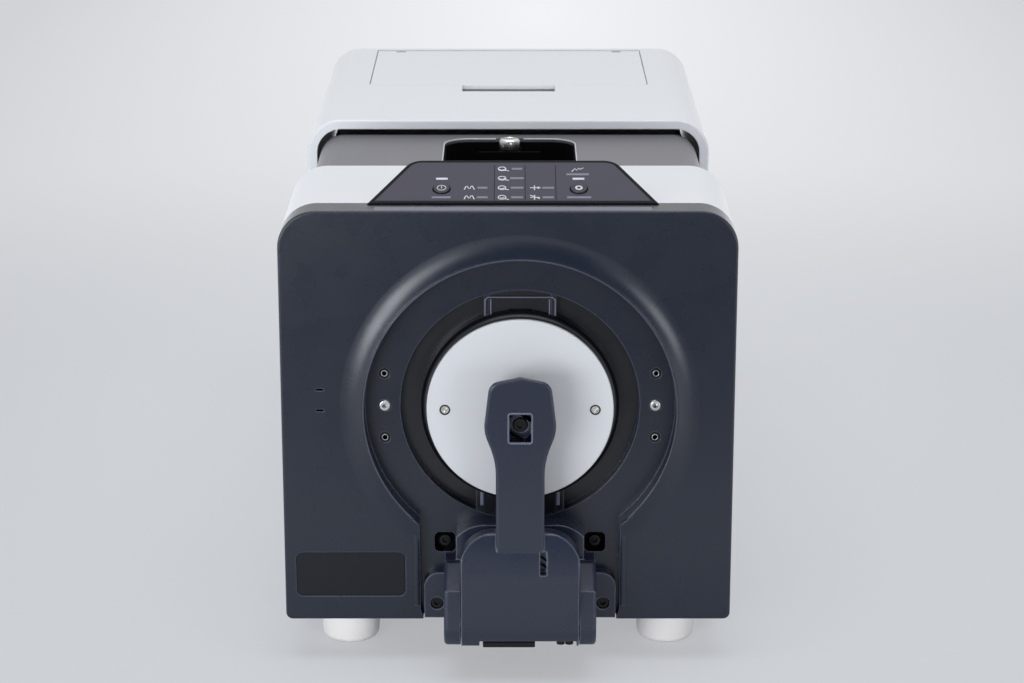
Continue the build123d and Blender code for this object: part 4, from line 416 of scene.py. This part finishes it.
# %% Places
FACE = -231.5
FACINGS = {
    "front": ((1, 0, 0), (0, 0, 1), (0, -1, 0)),
    "back": ((-1, 0, 0), (0, 0, 1), (0, 1, 0)),
    "right": ((0, 1, 0), (0, 0, 1), (1, 0, 0)),
    "left": ((0, -1, 0), (0, 0, 1), (-1, 0, 0)),
    "top": ((1, 0, 0), (0, 1, 0), (0, 0, 1)),
    "below": ((1, 0, 0), (0, -1, 0), (0, 0, -1)),
}
SLOPE = math.radians(20.0)
FACINGS["slope"] = ((1, 0, 0), (0, math.cos(SLOPE), math.sin(SLOPE)),
                    (0, -math.sin(SLOPE), math.cos(SLOPE)))
PORT_X, PORT_Z = 7.1, 158.0
CHAMBER_X, CHAMBER_Z = 0.9, 266.3
MASK_SCREWS = [side * 43.8 for side in (-1, 1)]
BUSHES = [(side * 79.2, rise * 19.6) for side in (-1, 1) for rise in (-1, 1)]
WELLS_X, WELLS_Z = [PORT_X + side * 44.4 for side in (-1, 1)], 72.8


def spot(across, deep, high, facing="front"):
    """A matrix for a place in millimetres, its third axis pointing that way."""
    turn = Matrix(FACINGS[facing]).transposed().to_4x4()
    return Matrix.Translation(Vector((across, FACE + deep, high)) / 1000) @ turn


port = spot(PORT_X, 0.0, PORT_Z)
keys = spot(3.0, 16.0, 277.8, "slope")
print("port axis at", tuple(round(v, 4) for v in port.translation))

# %% [markdown]
# ## Turned pieces
# A screw head or a bush is a turned piece: a profile swept round an axis. Blender
# could spin a profile, but a screw also has a recess that isn't round. So a turned
# piece is built here from rings of points, and a ring's radius may follow the angle:
# a hexagon, a cross, a soft square or the flutes of a knurl are only radii that
# change on the way round.

# %% Rings of points
def hexagon(flat):
    """The radius of a hexagon with that half width across its flats."""
    return lambda angle: flat / math.cos((angle % (math.pi / 3)) - math.pi / 6)


def cross(arm, half):
    """The radius of a cross with arms of that reach and half width, its corners soft."""
    def radius(angle):
        turn = abs((angle + math.pi / 4) % (math.pi / 2) - math.pi / 4)
        side = half / max(math.sin(turn), 0.05)
        return min(arm / math.cos(turn), max(side, half * 1.3))
    return radius


def soft_square(wide, tall, power=4.5):
    """The radius of a square with round corners, from its half width and half height."""
    def radius(angle):
        sides = abs(math.cos(angle) / wide) ** power + abs(math.sin(angle) / tall) ** power
        return sides ** (-1 / power)
    return radius


def knurl(reach, depth, count):
    """The radius of a straight knurl."""
    return lambda angle: reach - depth * (0.5 - 0.5 * math.cos(count * angle))


def turned(name, rings, steps=48):
    """A closed mesh of rings, each a height and a radius in millimetres."""
    build = bmesh.new()
    loops = []
    for height, radius in rings:
        loop = []
        for step in range(steps):
            angle = 2 * math.pi * step / steps
            reach = radius(angle) if callable(radius) else radius
            place = (reach * math.cos(angle), reach * math.sin(angle), height)
            loop.append(build.verts.new(Vector(place) / 1000))
        loops.append(loop)
    for low, high in zip(loops, loops[1:]):
        for step in range(steps):
            after = (step + 1) % steps
            build.faces.new((low[step], low[after], high[after], high[step]))
    build.faces.new(list(reversed(loops[0])))
    build.faces.new(loops[-1])
    mesh = bpy.data.meshes.new(name)
    build.to_mesh(mesh)
    build.free()
    return mesh


def smoothed(mesh, angle=35.0):
    """Shades a mesh smooth, but keeps edges sharper than that angle crisp."""
    mesh.shade_smooth()
    mesh.set_sharp_from_angle(angle=math.radians(angle))
    return mesh


button_cap = turned("trial_cap", [(0, 3), (1, 3), (1.4, 2.6)])
print("a turned piece has", len(button_cap.polygons), "faces")
bpy.data.meshes.remove(button_cap)

# %% [markdown]
# ## Node trees that build
# What repeats, or follows a path, is built by Geometry Nodes. The tree's inputs have
# names and are set by the identifiers of their sockets. Its result is turned into a
# plain mesh at once, so that nothing is left to work out later.

# %% Geometry Nodes
SOCKETS = {"object": "NodeSocketObject", "float": "NodeSocketFloat",
           "vector": "NodeSocketVector", "count": "NodeSocketInt",
           "finish": "NodeSocketMaterial"}


class Maker(Graph):
    """A Geometry Nodes tree with named inputs, and the geometry that goes in."""

    def __init__(self, name, **inputs):
        super().__init__(bpy.data.node_groups.new(name, "GeometryNodeTree"))
        sockets = self.tree.interface
        sockets.new_socket("Geometry", in_out="INPUT", socket_type="NodeSocketGeometry")
        sockets.new_socket("Geometry", in_out="OUTPUT", socket_type="NodeSocketGeometry")
        for label, kind in inputs.items():
            sockets.new_socket(label, in_out="INPUT", socket_type=SOCKETS[kind])
        entry = self.tree.nodes.new("NodeGroupInput")
        self.given = {socket.name: Wire(self, socket) for socket in entry.outputs if socket.name}

    def finish_with(self, shape):
        """Ends the tree: instances made real and the finish put on."""
        real = self.node("GeometryNodeRealizeInstances", {}, {0: shape})
        dressed = self.node("GeometryNodeSetMaterial", {},
                            {"Geometry": real, "Material": self.given["Finish"]})
        self.node("NodeGroupOutput", {}, {"Geometry": dressed})
        return self.tree


def grown(name, start, tree, place, **values):
    """Runs a tree on a starting mesh and keeps the result as a plain mesh in its place."""
    piece = bpy.data.objects.new(name, start)
    bpy.context.scene.collection.objects.link(piece)
    modifier = piece.modifiers.new("grow", "NODES")
    modifier.node_group = tree
    for item in tree.interface.items_tree:
        if item.in_out == "INPUT" and item.name in values:
            modifier[item.identifier] = values[item.name]
    seen = piece.evaluated_get(bpy.context.evaluated_depsgraph_get())
    plain = bpy.data.meshes.new_from_object(seen)
    piece.modifiers.clear()
    piece.data = plain
    plain.name = name
    plain.transform(place)
    return piece


def seated(piece, body, slot, *stands_for):
    """Puts a finished piece on its body and hides the CAD parts that it stands for; the slot is
    not used.
    """
    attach(piece, body)
    if stands_for:
        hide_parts(*stands_for)
    print(piece.name, "on", body, "has", len(piece.data.polygons), "faces")
    return piece


print("kinds of inputs for the trees:", sorted(SOCKETS))

# %% [markdown]
# ## Screws
# The instrument is held together by small screws that repeat: cross-headed ones in the
# mask, black socket heads in the bracket, dark domes on the sides, zinc ones at the
# back and under the feet. One tree puts a head on each point of a mesh, facing one
# way, and turns each by its own amount, because no two screws stop at the same angle.

# %% The screw tree
def screw_tree():
    """One head on each point, turned towards a facing and spun by a seeded amount."""
    maker = Maker("screws", Head="object", Facing="vector", Seed="count", Finish="finish")
    given = maker.given
    head = maker.node("GeometryNodeObjectInfo", {}, {"Object": given["Head"]}, out="Geometry")
    placed = maker.node("GeometryNodeInstanceOnPoints", {}, {
        "Points": given["Geometry"], "Instance": head, "Rotation": given["Facing"]})
    chance = maker.node("FunctionNodeRandomValue", {"data_type": "FLOAT_VECTOR"},
                        {0: (0.0, 0.0, -3.14), 1: (0.0, 0.0, 3.14), "Seed": given["Seed"]})
    spun = maker.node("GeometryNodeRotateInstances", {},
                      {"Instances": placed, "Rotation": chance})
    return maker.finish_with(spun)


screws = screw_tree()


def screw_set(name, head, places, facing, body, slot, stands_for=(), seed=1):
    """A set of equal screws at places in millimetres, as one mesh."""
    points = bpy.data.meshes.new(name)
    points.from_pydata([spot(*place).translation for place in places], [], [])
    holder = bpy.data.objects.new(name + "_head", head)
    bpy.context.scene.collection.objects.link(holder)
    turn = tuple(spot(0, 0, 0, facing).to_euler())
    piece = grown(name, points, screws, Matrix.Identity(4), Head=holder, Facing=turn, Seed=seed,
                  Finish=finishes[slot])
    bpy.data.objects.remove(holder)
    smoothed(piece.data)
    return seated(piece, body, slot, *stands_for)


print("screw tree has", len(screws.nodes), "nodes")

# %% Screw heads
mask_head = turned("mask_head", [
    (-0.9, 2.7), (-0.2, 2.7), (0.0, 2.45), (0.0, cross(1.9, 0.34)), (-0.6, cross(1.7, 0.26))])
socket_head = turned("socket_head", [
    (-2.4, 3.6), (-0.35, 3.6), (0.0, 3.3), (0.0, hexagon(1.62)), (-0.25, hexagon(1.5)),
    (-1.6, hexagon(1.5))])
dome_head = turned("dome_head", [
    (-0.2, 4.2), (0.7, 4.15), (1.5, 3.4), (2.05, 2.3), (2.15, hexagon(1.3)),
    (0.9, hexagon(1.25))])
pan_head = turned("pan_head", [
    (-0.2, 3.2), (0.9, 3.15), (1.4, 2.5), (1.55, 1.95), (1.55, cross(1.7, 0.3)),
    (0.8, cross(1.5, 0.24))])
foot_head = turned("foot_head", [
    (-2.9, 5.0), (-0.6, 5.0), (0.0, 4.2), (0.0, cross(2.6, 0.5)), (-1.4, cross(2.3, 0.4))])
for head in (mask_head, socket_head, dome_head, pan_head, foot_head):
    print(head.name, "has", len(head.polygons), "faces")

# %% Screws in their places
mask_places = [(PORT_X + across, 0.55, PORT_Z) for across in MASK_SCREWS]
well_places = [(across, 11.6, WELLS_Z) for across in WELLS_X]
ear_places = [(PORT_X + side * 49.4, 2.6, 36.6) for side in (-1, 1)]
rear_places = [(side * 116.0, 495.6, high) for side in (-1, 1) for high in (39.0, 224.0)]
foot_places = [(side * 96.0, deep, 6.0) for side in (-1, 1) for deep in (43.0, 455.0)]
side_heights = (55.0, 230.0)
screw_set("mask_crosses", mask_head, mask_places, "front", "root", "bright_steel",
          ("mask_screws",), seed=4)
screw_set("bracket_sockets", socket_head, well_places + ear_places, "front", "root",
          "black_steel", ("bracket_screws",), seed=7)
screw_set("left_domes", dome_head, [(-132.0, 28.0, high) for high in side_heights],
          "left", "root", "black_steel", ("side_screws",), seed=3)
screw_set("right_domes", dome_head, [(132.0, 28.0, high) for high in side_heights],
          "right", "root", "black_steel", seed=5)
screw_set("rear_pans", pan_head, rear_places, "back", "root", "zinc_steel",
          ("rear_screws",), seed=9)
screw_set("foot_crosses", foot_head, foot_places, "below", "root", "zinc_steel",
          ("foot_screws",), seed=2)

# %% [markdown]
# ## Painted shade in openings
# The screw wells, the window in the arm and the slot in its base look black, because
# little light finds its way into a narrow opening. The openings could be deepened, but
# their depth belongs to the CAD model, so the shade is painted: each gets a thin black
# cup with the radius of a soft square. The screw tree sets the cups, and so it also
# turns them by chance: they stand out of line with their openings.

# %% Painted shade in openings
def cup(name, wide, tall, deep, wall=0.15):
    """An open cup with a thin wall, its rim at the height of its place."""
    outside, inside = soft_square(wide, tall), soft_square(wide - wall, tall - wall)
    rings = [(-deep, outside), (0.0, outside), (0.0, inside), (wall - deep, inside)]
    return turned(name, rings, 64)


# black cups: painted shade inside the wells, the slot and the window
screw_set("well_linings", cup("well_cup", wide=6.14, tall=6.14, deep=4.9),
          [(across, 9.06, WELLS_Z) for across in WELLS_X], "front", "root", "liner_black")
screw_set("slot_lining", cup("slot_cup", wide=1.84, tall=6.7, deep=3.6),
          [(20.5, -33.6, 76.0)], "front", "arm", "liner_black")
screw_set("window_lining", cup("window_cup", wide=6.4, tall=8.2, deep=8.0),
          [(PORT_X, -33.0, PORT_Z)], "front", "arm", "liner_black")

# %% [markdown]
# ## Threaded bushes
# The four small holes in the ring are threaded bushes for fixtures. A true thread is
# too fine to see from a metre away, but its ribs catch a glint inside the hole, so each
# bush is turned with a countersink and a few ribs, and the same tree sets all four.

# %% Threaded bushes in the ring
ribs = [(-0.6 - 0.35 * turn, 1.3 if turn % 2 else 1.5) for turn in range(12)]
bush = turned("bush", [(-7.6, 3.05), (-0.15, 3.05), (0.0, 2.9), (0.0, 1.9)] + ribs, 32)
screw_set("ring_bushes", bush, [(PORT_X + x, 9.0, PORT_Z + z) for x, z in BUSHES],
          "front", "root", "black_steel", ("ring_inserts",))

# %% [markdown]
# ## Single turned pieces
# The thumb screw that clamps the holder is knurled for bare fingers, and the pad's
# screw sits deep in the window of the arm. There is only one of each, so they are
# turned straight into their places.

# %% Thumb screw and pad screw
def turned_piece(name, rings, place, body, slot, *stands_for, steps=48):
    """One turned piece, stood in its place and seated on its body."""
    mesh = smoothed(turned(name, rings, steps))
    mesh.transform(place)
    mesh.materials.append(finishes[slot])
    piece = bpy.data.objects.new(name, mesh)
    bpy.context.scene.collection.objects.link(piece)
    return seated(piece, body, slot, *stands_for)


grip = knurl(6.72, 0.26, 40)
thumb_rings = [(-9.0, 2.4), (0.0, 2.4), (0.0, 5.9), (0.5, 6.3), (0.9, grip), (6.1, grip),
               (6.5, 6.35), (7.1, 5.9), (7.36, 5.3), (7.36, 3.2), (7.1, 2.9)]
turned_piece("thumb_grip", thumb_rings, spot(CHAMBER_X, 231.0, 261.0, "top"),
             "thumb_screw", "bright_steel", "thumb_screw", steps=240)
pad_rings = [(0.0, 2.95), (21.4, 2.95), (21.4, 4.15), (23.4, 4.15), (23.75, 3.8),
             (23.75, hexagon(2.0)), (22.2, hexagon(1.9))]
turned_piece("pad_socket", pad_rings, spot(PORT_X, -3.85, PORT_Z),
             "pad", "black_steel", "pad_screw")

# %% [markdown]
# ## Wound springs
# In the CAD model each spring is the sleeve that its coils fill. Here it becomes wire:
# a spiral curve with a round profile swept along it. The torsion spring round the
# hinge pin closes the arm, and the small one behind the pad lets it give way.

# %% Coil springs
def coil_tree():
    """A round wire along a spiral of even pitch."""
    maker = Maker("coil", Turns="float", Reach="float", Length="float", Wire="float",
                  Finish="finish")
    given = maker.given
    path = maker.node("GeometryNodeCurveSpiral", {}, {
        "Resolution": 40, "Rotations": given["Turns"], "Start Radius": given["Reach"],
        "End Radius": given["Reach"], "Height": given["Length"]})
    wire = maker.node("GeometryNodeCurvePrimitiveCircle", {},
                      {"Resolution": 12, "Radius": given["Wire"]})
    swept = maker.node("GeometryNodeCurveToMesh", {},
                       {"Curve": path, "Profile Curve": wire, "Fill Caps": True})
    return maker.finish_with(swept)


coils = coil_tree()


def spring(name, place, body, *stands_for, turns, reach, length, wire):
    """A coil spring from its sizes in millimetres."""
    piece = grown(name, bpy.data.meshes.new(name), coils, place, Turns=turns, Reach=reach / 1000,
                  Length=length / 1000, Wire=wire / 1000, Finish=finishes["spring_steel"])
    smoothed(piece.data, 60.0)
    return seated(piece, body, "spring_steel", *stands_for)


spring("closing_coil", spot(-3.0, -23.0, 35.0, "right"), "root", "closing_spring",
       turns=11.5, reach=4.05, length=20.2, wire=0.78)
pad_coil = spring("pad_coil", spot(PORT_X, -4.3, PORT_Z), "arm", "pad_spring",
                  turns=4.5, reach=4.25, length=7.2, wire=0.42)
tuple(spot(PORT_X, -11.95, PORT_Z).translation)
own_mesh(pad_coil)

# %% [markdown]
# ## Marks on the control panel
# The legend sheet has pale marks beside the buttons: small curves, rings and signs, each
# with a short bar beside it. A printed mark could be painted in a material, but then
# it would need a picture or a long formula. Here each mark is a line of points, and one
# tree lays a flat ribbon a tenth of a millimetre thick along all of them.

# %% Ribbons along lines
def ribbon_tree(name, round_profile):
    """A flat or oval strip along every edge of a mesh that lies in a plane."""
    maker = Maker(name, Width="float", Height="float", Finish="finish")
    given = maker.given
    path = maker.node("GeometryNodeMeshToCurve", {}, {"Mesh": given["Geometry"]})
    level = maker.node("GeometryNodeSetCurveNormal", {"mode": "Z_UP"}, {"Curve": path})
    if round_profile:
        ring = maker.node("GeometryNodeCurvePrimitiveCircle", {},
                          {"Resolution": 16, "Radius": 0.5})
        size = maker.node("ShaderNodeCombineXYZ", {},
                          {"X": given["Width"], "Y": given["Height"], "Z": 1.0})
        shape = maker.node("GeometryNodeTransform", {}, {"Geometry": ring, "Scale": size})
    else:
        shape = maker.node("GeometryNodeCurvePrimitiveQuadrilateral", {},
                           {"Width": given["Width"], "Height": given["Height"]})
    swept = maker.node("GeometryNodeCurveToMesh", {},
                       {"Curve": level, "Profile Curve": shape, "Fill Caps": True})
    return maker.finish_with(swept)


ribbons = ribbon_tree("ribbons", False)
beads = ribbon_tree("beads", True)


def strips(name, tree, lines, place, body, slot, *stands_for, width, height, lift=0.0,
           ink=None):
    """Strips along lines of millimetre points, lifted off the plane of a place."""
    points, edges = [], []
    for line in lines:
        first = len(points)
        points += [(x / 1000, y / 1000, lift / 1000) for x, y in line]
        edges += [(first + k, first + k + 1) for k in range(len(line) - 1)]
        if line[0] == line[-1]:
            points.pop()
            edges[-1] = (edges[-1][0], first)
    wires = bpy.data.meshes.new(name)
    wires.from_pydata(points, edges, [])
    piece = grown(name, wires, tree, place, Width=width / 1000, Height=height / 1000,
                  Finish=finishes[ink or slot])
    smoothed(piece.data, 50.0)
    return seated(piece, body, slot, *stands_for)


print("the ribbons' tree has", len(ribbons.nodes), "nodes, the beads'", len(beads.nodes))

# %% Shapes of the marks
def bow(x, y, reach, start, end, squeeze=1.0, steps=20):
    """Points along an arc, in degrees, squeezed in height."""
    angles = [math.radians(start + (end - start) * k / steps) for k in range(steps + 1)]
    line = [(round(x + reach * math.cos(a), 4), round(y + squeeze * reach * math.sin(a), 4))
            for a in angles]
    if abs(end - start) == 360:
        line[-1] = line[0]
    return line


def moved(line, x, y):
    """A line of points moved to a place."""
    return [(x + a, y + b) for a, b in line]


POWER_X, MEASURE_X, BUTTONS_Y = -41.4, 38.1, 14.8
rows = [6.1, 16.1, 26.1, 36.1]
peaks = [(-2.9, -1.9), (-2.0, 1.2), (-1.3, 1.7), (-0.4, -0.8), (0.4, -0.8), (1.1, 1.7),
         (1.8, 1.7), (2.9, -1.9)]
lines = [moved(peaks, -25.3, row) for row in rows[:2]]
for k, row in enumerate(rows):
    lines.append(bow(-6.4, row, 2.2, 0, 360, 0.9))
    lines.append(bow(-6.4, row, 1.0 + 0.25 * k, 200, 360, 0.8))
    lines.append([(-4.6, row - 1.6), (-2.4, row - 2.2)])
for row in rows[:2]:
    lines.append([(9.8, row), (15.4, row)])
    lines.append([(12.4, row - 2.4), (12.4, row + 2.4)])
lines.append([(14.2, 17.1), (15.9, 16.1), (14.2, 15.1)])
lines.append([(9.8, 8.3), (12.4, 6.9), (15.4, 4.6)])
zigzag = [(-3.4, -1.9), (-1.6, 1.4), (-0.6, -0.4), (0.7, 1.7), (1.5, 0.4), (3.4, 2.2)]
lines.append(moved(zigzag, 37.7, 35.0))
print("lines of the marks:", len(lines))

# %% Marks, bars and dividers
# the marks take the lamp covers' finish, whose faint glow is painted light on printed marks
strips("control_marks", ribbons, lines, keys, "root", "light_lens", "indicator_windows",
       width=0.6, height=0.1, lift=0.06)
bars = [[(x - wide / 2, row), (x + wide / 2, row)] for x, row, wide in (
    (-17.7, rows[0], 6.4), (-17.7, rows[1], 5.8), (2.3, rows[0], 7.0), (2.3, rows[1], 7.4),
    (2.3, rows[2], 8.0), (2.3, rows[3], 6.2), (20.3, rows[0], 6.6), (20.3, rows[1], 6.8),
    (POWER_X, rows[0], 11.0), (MEASURE_X, rows[0], 14.0), (37.7, 30.2, 13.4))]
strips("label_bars", ribbons, bars, keys, "root", "legend_sheet", width=2.1, height=0.08,
       lift=0.05, ink="label_ink")
dividers = [[(x, 3.0), (x, 40.0)] for x in (-10.8, 7.0, 24.8)]
strips("panel_dividers", ribbons, dividers, keys, "root", "control_dark", width=0.35,
       height=0.06, lift=0.04)
# the marks on the buttons glow the same way: painted light
power_lines = [bow(POWER_X, BUTTONS_Y, 2.5, 0, 360), [(POWER_X, 14.2), (POWER_X, 16.4)]]
strips("power_mark", ribbons, power_lines, keys, "power_button", "light_lens", width=0.42,
       height=0.1, lift=0.95)
strips("measure_mark", ribbons, [bow(MEASURE_X, BUTTONS_Y, 1.7, 0, 360)], keys,
       "measure_button", "light_lens", width=1.0, height=0.1, lift=0.95)

# %% [markdown]
# ## Rolled edges, painted highlights and painted shade
# Light collects on rounded edges: round the window in the arm, along both sides of the
# recess, on the crest of the port's rim, on the keys of the collar and in the mouths of
# the bushes. Finer CAD roundings would need very many faces, so these are beads: the
# tree of the marks with a round profile, laid on paths that follow the edges. A bead
# may take a paler finish than the part it belongs to, which is what ink is for: that
# paler colour is a painted highlight. The flat ribbons paint the rest: painted shade on
# the floor of the channel, painted light on the top face above the panel, painted shade
# of the small slot in the upper key, painted shade round the mask's screws and a painted
# highlight on the rim of the chamber's opening.

# %% Beads on the arm and the panel
LIP_X, LIP_Y, LIP_ROUND = 5.2, 7.4, 1.6


def lip_corner(start, end, across, high):
    """A quarter of a circle at one corner of the window."""
    return moved(bow(0, 0, LIP_ROUND, start, end), across, high)


top_line = lip_corner(180, 90, -LIP_X, LIP_Y) + lip_corner(90, 0, LIP_X, LIP_Y)
low_line = lip_corner(180, 270, -LIP_X, -LIP_Y) + lip_corner(270, 360, LIP_X, -LIP_Y)
frame_line = top_line + list(reversed(low_line))
# the bead is real, its paler ink is a painted highlight on the window's lip
strips("window_lip", beads, [frame_line + [frame_line[0]]], spot(PORT_X, -34.0, PORT_Z),
       "arm", "arm_plastic", width=1.1, height=0.9, ink="pale_edge_highlight")
recess_lines = [[(side * 61.2, -122.0), (side * 61.2, -74.0), (side * 61.6, -71.5),
                 (side * 63.4, -68.5)] for side in (-1, 1)]
strips("recess_beads", beads, recess_lines, port, "root", "panel_plastic", width=3.6,
       height=1.6)
# the crest bead is real, its paler ink is a painted highlight on the rim's crest
strips("crest_bead", beads, [bow(0, 0, 91.2, -46, 226, steps=90)], port, "root",
       "panel_plastic", width=1.0, height=0.7, lift=3.9, ink="crest_highlight")

# %% Channel, keys and sill
KEY_LIFT = -9.3
# a dark ribbon on the channel's floor: painted shade in the recess
strips("channel_floor", ribbons, [bow(0, 0, 64, 0, 360, steps=72)], port, "root",
       "collar_plastic", width=11.6, height=0.2, lift=-15.9)
key_lines = [[(-20.3, 54.5), (-20.3, 64.0), (-18.8, 65.6), (18.8, 65.6), (20.3, 64.0),
              (20.3, 54.5)]]
key_lines += [[(side * 17.0, 55.0), (side * 17.0, 64.6)] for side in (-1, 1)]
# the beads are real, their paler ink is a painted highlight on the keys' edges
strips("key_beads", beads, key_lines, port, "root", "collar_plastic", width=0.9,
       height=0.8, lift=KEY_LIFT, ink="pale_edge_highlight")
lower_keys = [[(side * 22.3, -53.5), (side * 22.3, -62.0)] for side in (-1, 1)]
strips("key_ends", beads, lower_keys, port, "root", "collar_plastic", width=2.4,
       height=1.8, lift=KEY_LIFT, ink="pale_edge_highlight")
# a pale ribbon on the top face above the panel: painted light where that face is lit
strips("sill_strip", ribbons, [[(-76.5, 0.0), (82.5, 0.0)]], spot(0.0, 6.2, 277.05, "top"),
       "root", "panel_plastic", width=9.2, height=0.1, ink="sill_painted_light")
# a dark ribbon on the upper key: painted shade of its small slot
strips("key_mark", ribbons, [[(-6.8, 57.6), (6.8, 57.6)]], port, "root", "liner_black",
       width=1.5, height=0.1, lift=-9.2)

# %% Rings round bushes and screws
strips("bush_glints", beads, [bow(x, z, 1.7, 0, 360) for x, z in BUSHES], port, "root",
       "zinc_steel", width=0.5, height=0.5, lift=-8.95)
# dark rings round the mask's screws: painted shade round their heads
strips("mask_screw_rings", ribbons, [bow(x, 0, 2.75, 0, 360) for x in MASK_SCREWS], port,
       "root", "black_steel", width=0.8, height=0.1, lift=-0.42)

# %% Rim of the chamber's opening
corner, gap, notch = 16.6, 0.3, 9.0
half_wide, half_deep = 42.7 - gap, 44.0 - gap
opening = [(notch, half_deep), (half_wide - corner, half_deep)]
opening += moved(bow(0, 0, corner, 90, 0), half_wide - corner, half_deep - corner)
opening += moved(bow(0, 0, corner, 0, -90), half_wide - corner, corner - half_deep)
opening += [(-x, y) for x, y in reversed(opening)]
# a white ribbon round the chamber's opening: painted highlight on its edge
strips("well_rim", ribbons, [opening], spot(CHAMBER_X, 194.0, CHAMBER_Z, "top"), "root",
       "white_shell", width=0.7, height=0.9)

# %% [markdown]
# ## Floor and background
# The instrument stands on a seamless pale sheet that is brightest behind it. A real
# backdrop would block the view from behind, so a wide floor fades, with distance, from
# a surface that takes the shadow to a plain colour that only the camera, glossy and
# clear surfaces see. In glossy reflections it is dim round the camera and bright farther
# out, as with white boards at the sides of a studio: the dark panel keeps its depth and
# its rounded edges shine. The world does the same. The camera sees a pale wall, glossy
# surfaces see a dim room in front and a white one behind, and everything else is lit
# evenly from all round.

# %% Floor
CENTRE_OF_GLOW = (0.04, 2.0, 0.0)
GLOW_STRETCH = (1.33, 0.38, 0.0)
DIM_SPOT = (0.0, -1.45, 0.0)
DIM, BRIGHT = 0.3, 2.2
NEAR_GLOW = 0.55


def ray_kinds(graph):
    """What is looking: the camera, a glossy surface or a clear one, each 0 or 1."""
    kinds = graph.node("ShaderNodeLightPath").socket.node.outputs
    names = ("Is Camera Ray", "Is Glossy Ray", "Is Transmission Ray")
    return [Wire(graph, kinds[name]) for name in names]


def floor_finish():
    """Pale floor: it takes the shadow near the instrument and only glows far away."""
    material, graph = new_finish("pale_floor")
    place = graph.node("ShaderNodeTexCoord", out="Object")
    away = on_vectors(graph, "SUBTRACT", place, CENTRE_OF_GLOW)
    away = on_vectors(graph, "LENGTH", on_vectors(graph, "MULTIPLY", away, GLOW_STRETCH))
    stops = [(0.0, paint(243, 244, 247)), (0.95, paint(209, 211, 215))]
    colour = graph.node("ShaderNodeValToRGB", {"stops": stops}, {0: away})
    near = on_vectors(graph, "LENGTH", place)
    far = fade(graph, near, 0.5, 1.2)
    past_shadow = fade(graph, near, 0.3, 0.7)
    eye, gloss, clear = ray_kinds(graph)
    share = eye * (far * (1 - NEAR_GLOW) + NEAR_GLOW) + (gloss + clear) * past_shadow
    ahead = on_vectors(graph, "LENGTH", on_vectors(graph, "SUBTRACT", place, DIM_SPOT))
    front = fade(graph, ahead, 0.6, 1.2, DIM, BRIGHT)
    paper = graph.node("ShaderNodeBsdfDiffuse", {}, {"Color": colour})
    shine = blend_colours(graph, gloss, (1.0, 1.0, 1.0, 1.0), front)
    shine = blend_colours(graph, 1.0, colour, shine, "MULTIPLY")
    light = graph.node("ShaderNodeEmission", {}, {"Color": shine, "Strength": 1.0})
    shader = graph.node("ShaderNodeMixShader", {}, {0: share, 1: paper, 2: light})
    graph.node("ShaderNodeOutputMaterial", {}, {"Surface": shader})
    return material


REACH, DROP = 14, 0.0001
corners = [(-REACH, -REACH), (REACH, -REACH), (REACH, REACH), (-REACH, REACH)]
sheet_mesh = bpy.data.meshes.new("floor")
sheet_mesh.from_pydata([(x, y, -DROP) for x, y in corners], [], [(0, 1, 2, 3)])
sheet_mesh.materials.append(floor_finish())
floor = bpy.data.objects.new("floor", sheet_mesh)
bpy.context.scene.collection.objects.link(floor)
print("floor is", round(floor.dimensions.x), "metres wide")

# %% World
world = bpy.data.worlds.new("pale_room")
world.use_nodes = True
world.node_tree.nodes.clear()
bpy.context.scene.world = world
air = Graph(world.node_tree)
eye, gloss, clear = ray_kinds(air)
seen = (eye + gloss + clear) > 0.5
aim = air.node("ShaderNodeTexCoord", out="Generated")
aim_y = air.node("ShaderNodeSeparateXYZ", {}, {0: aim}, out=1)
behind = fade(air, aim_y, -0.8, -0.35)
backdrop = blend_colours(air, behind, paint(86, 92, 110), paint(240, 241, 244))
backdrop = blend_colours(air, eye, backdrop, paint(211, 213, 217))
room = air.node("ShaderNodeBackground", {}, {"Color": (0.96, 0.98, 1.0, 1.0), "Strength": 0.5})
pale = air.node("ShaderNodeBackground", {}, {"Color": backdrop, "Strength": 1.0})
both = air.node("ShaderNodeMixShader", {}, {0: seen, 1: room, 2: pale})
air.node("ShaderNodeOutputWorld", {}, {"Surface": both})
print("world nodes:", len(world.node_tree.nodes))

# %% [markdown]
# ## Light
# The highlight on the left of the port's rim says where the light came from: a soft
# lamp in front on the left, about as high as the port. A smaller, weaker one stands on
# the right, and a wide one hangs overhead, lights the hood and softens the shadow on
# the floor. Spots would give hard edges, so all three are area lamps of a cool white
# that the camera doesn't see.

# %% Lamps
def softbox(name, place, aim, wide, tall, watts):
    """A large area lamp that looks at a point and isn't seen itself."""
    data = bpy.data.lights.new(name, "AREA")
    data.shape = "RECTANGLE"
    data.size = wide
    data.size_y = tall
    data.energy = watts
    data.color = (0.92, 0.96, 1.0)
    lamp = bpy.data.objects.new(name, data)
    lamp.location = place
    lamp.rotation_euler = (Vector(aim) - Vector(place)).to_track_quat("-Z", "Y").to_euler()
    lamp.visible_camera = False
    bpy.context.scene.collection.objects.link(lamp)
    return lamp


PORT_FRONT = (0.0, -0.23, 0.158)
softbox("left_box", (-0.66, -1.46, 0.27), PORT_FRONT, wide=0.66, tall=0.46, watts=9.6)
softbox("right_box", (0.70, -1.36, 0.22), PORT_FRONT, wide=0.32, tall=0.36, watts=2.2)
softbox("top_lamp", (0.0, -0.5, 2.0), (0.0, 0.0, 0.2), wide=1.8, tall=1.2, watts=18.0)
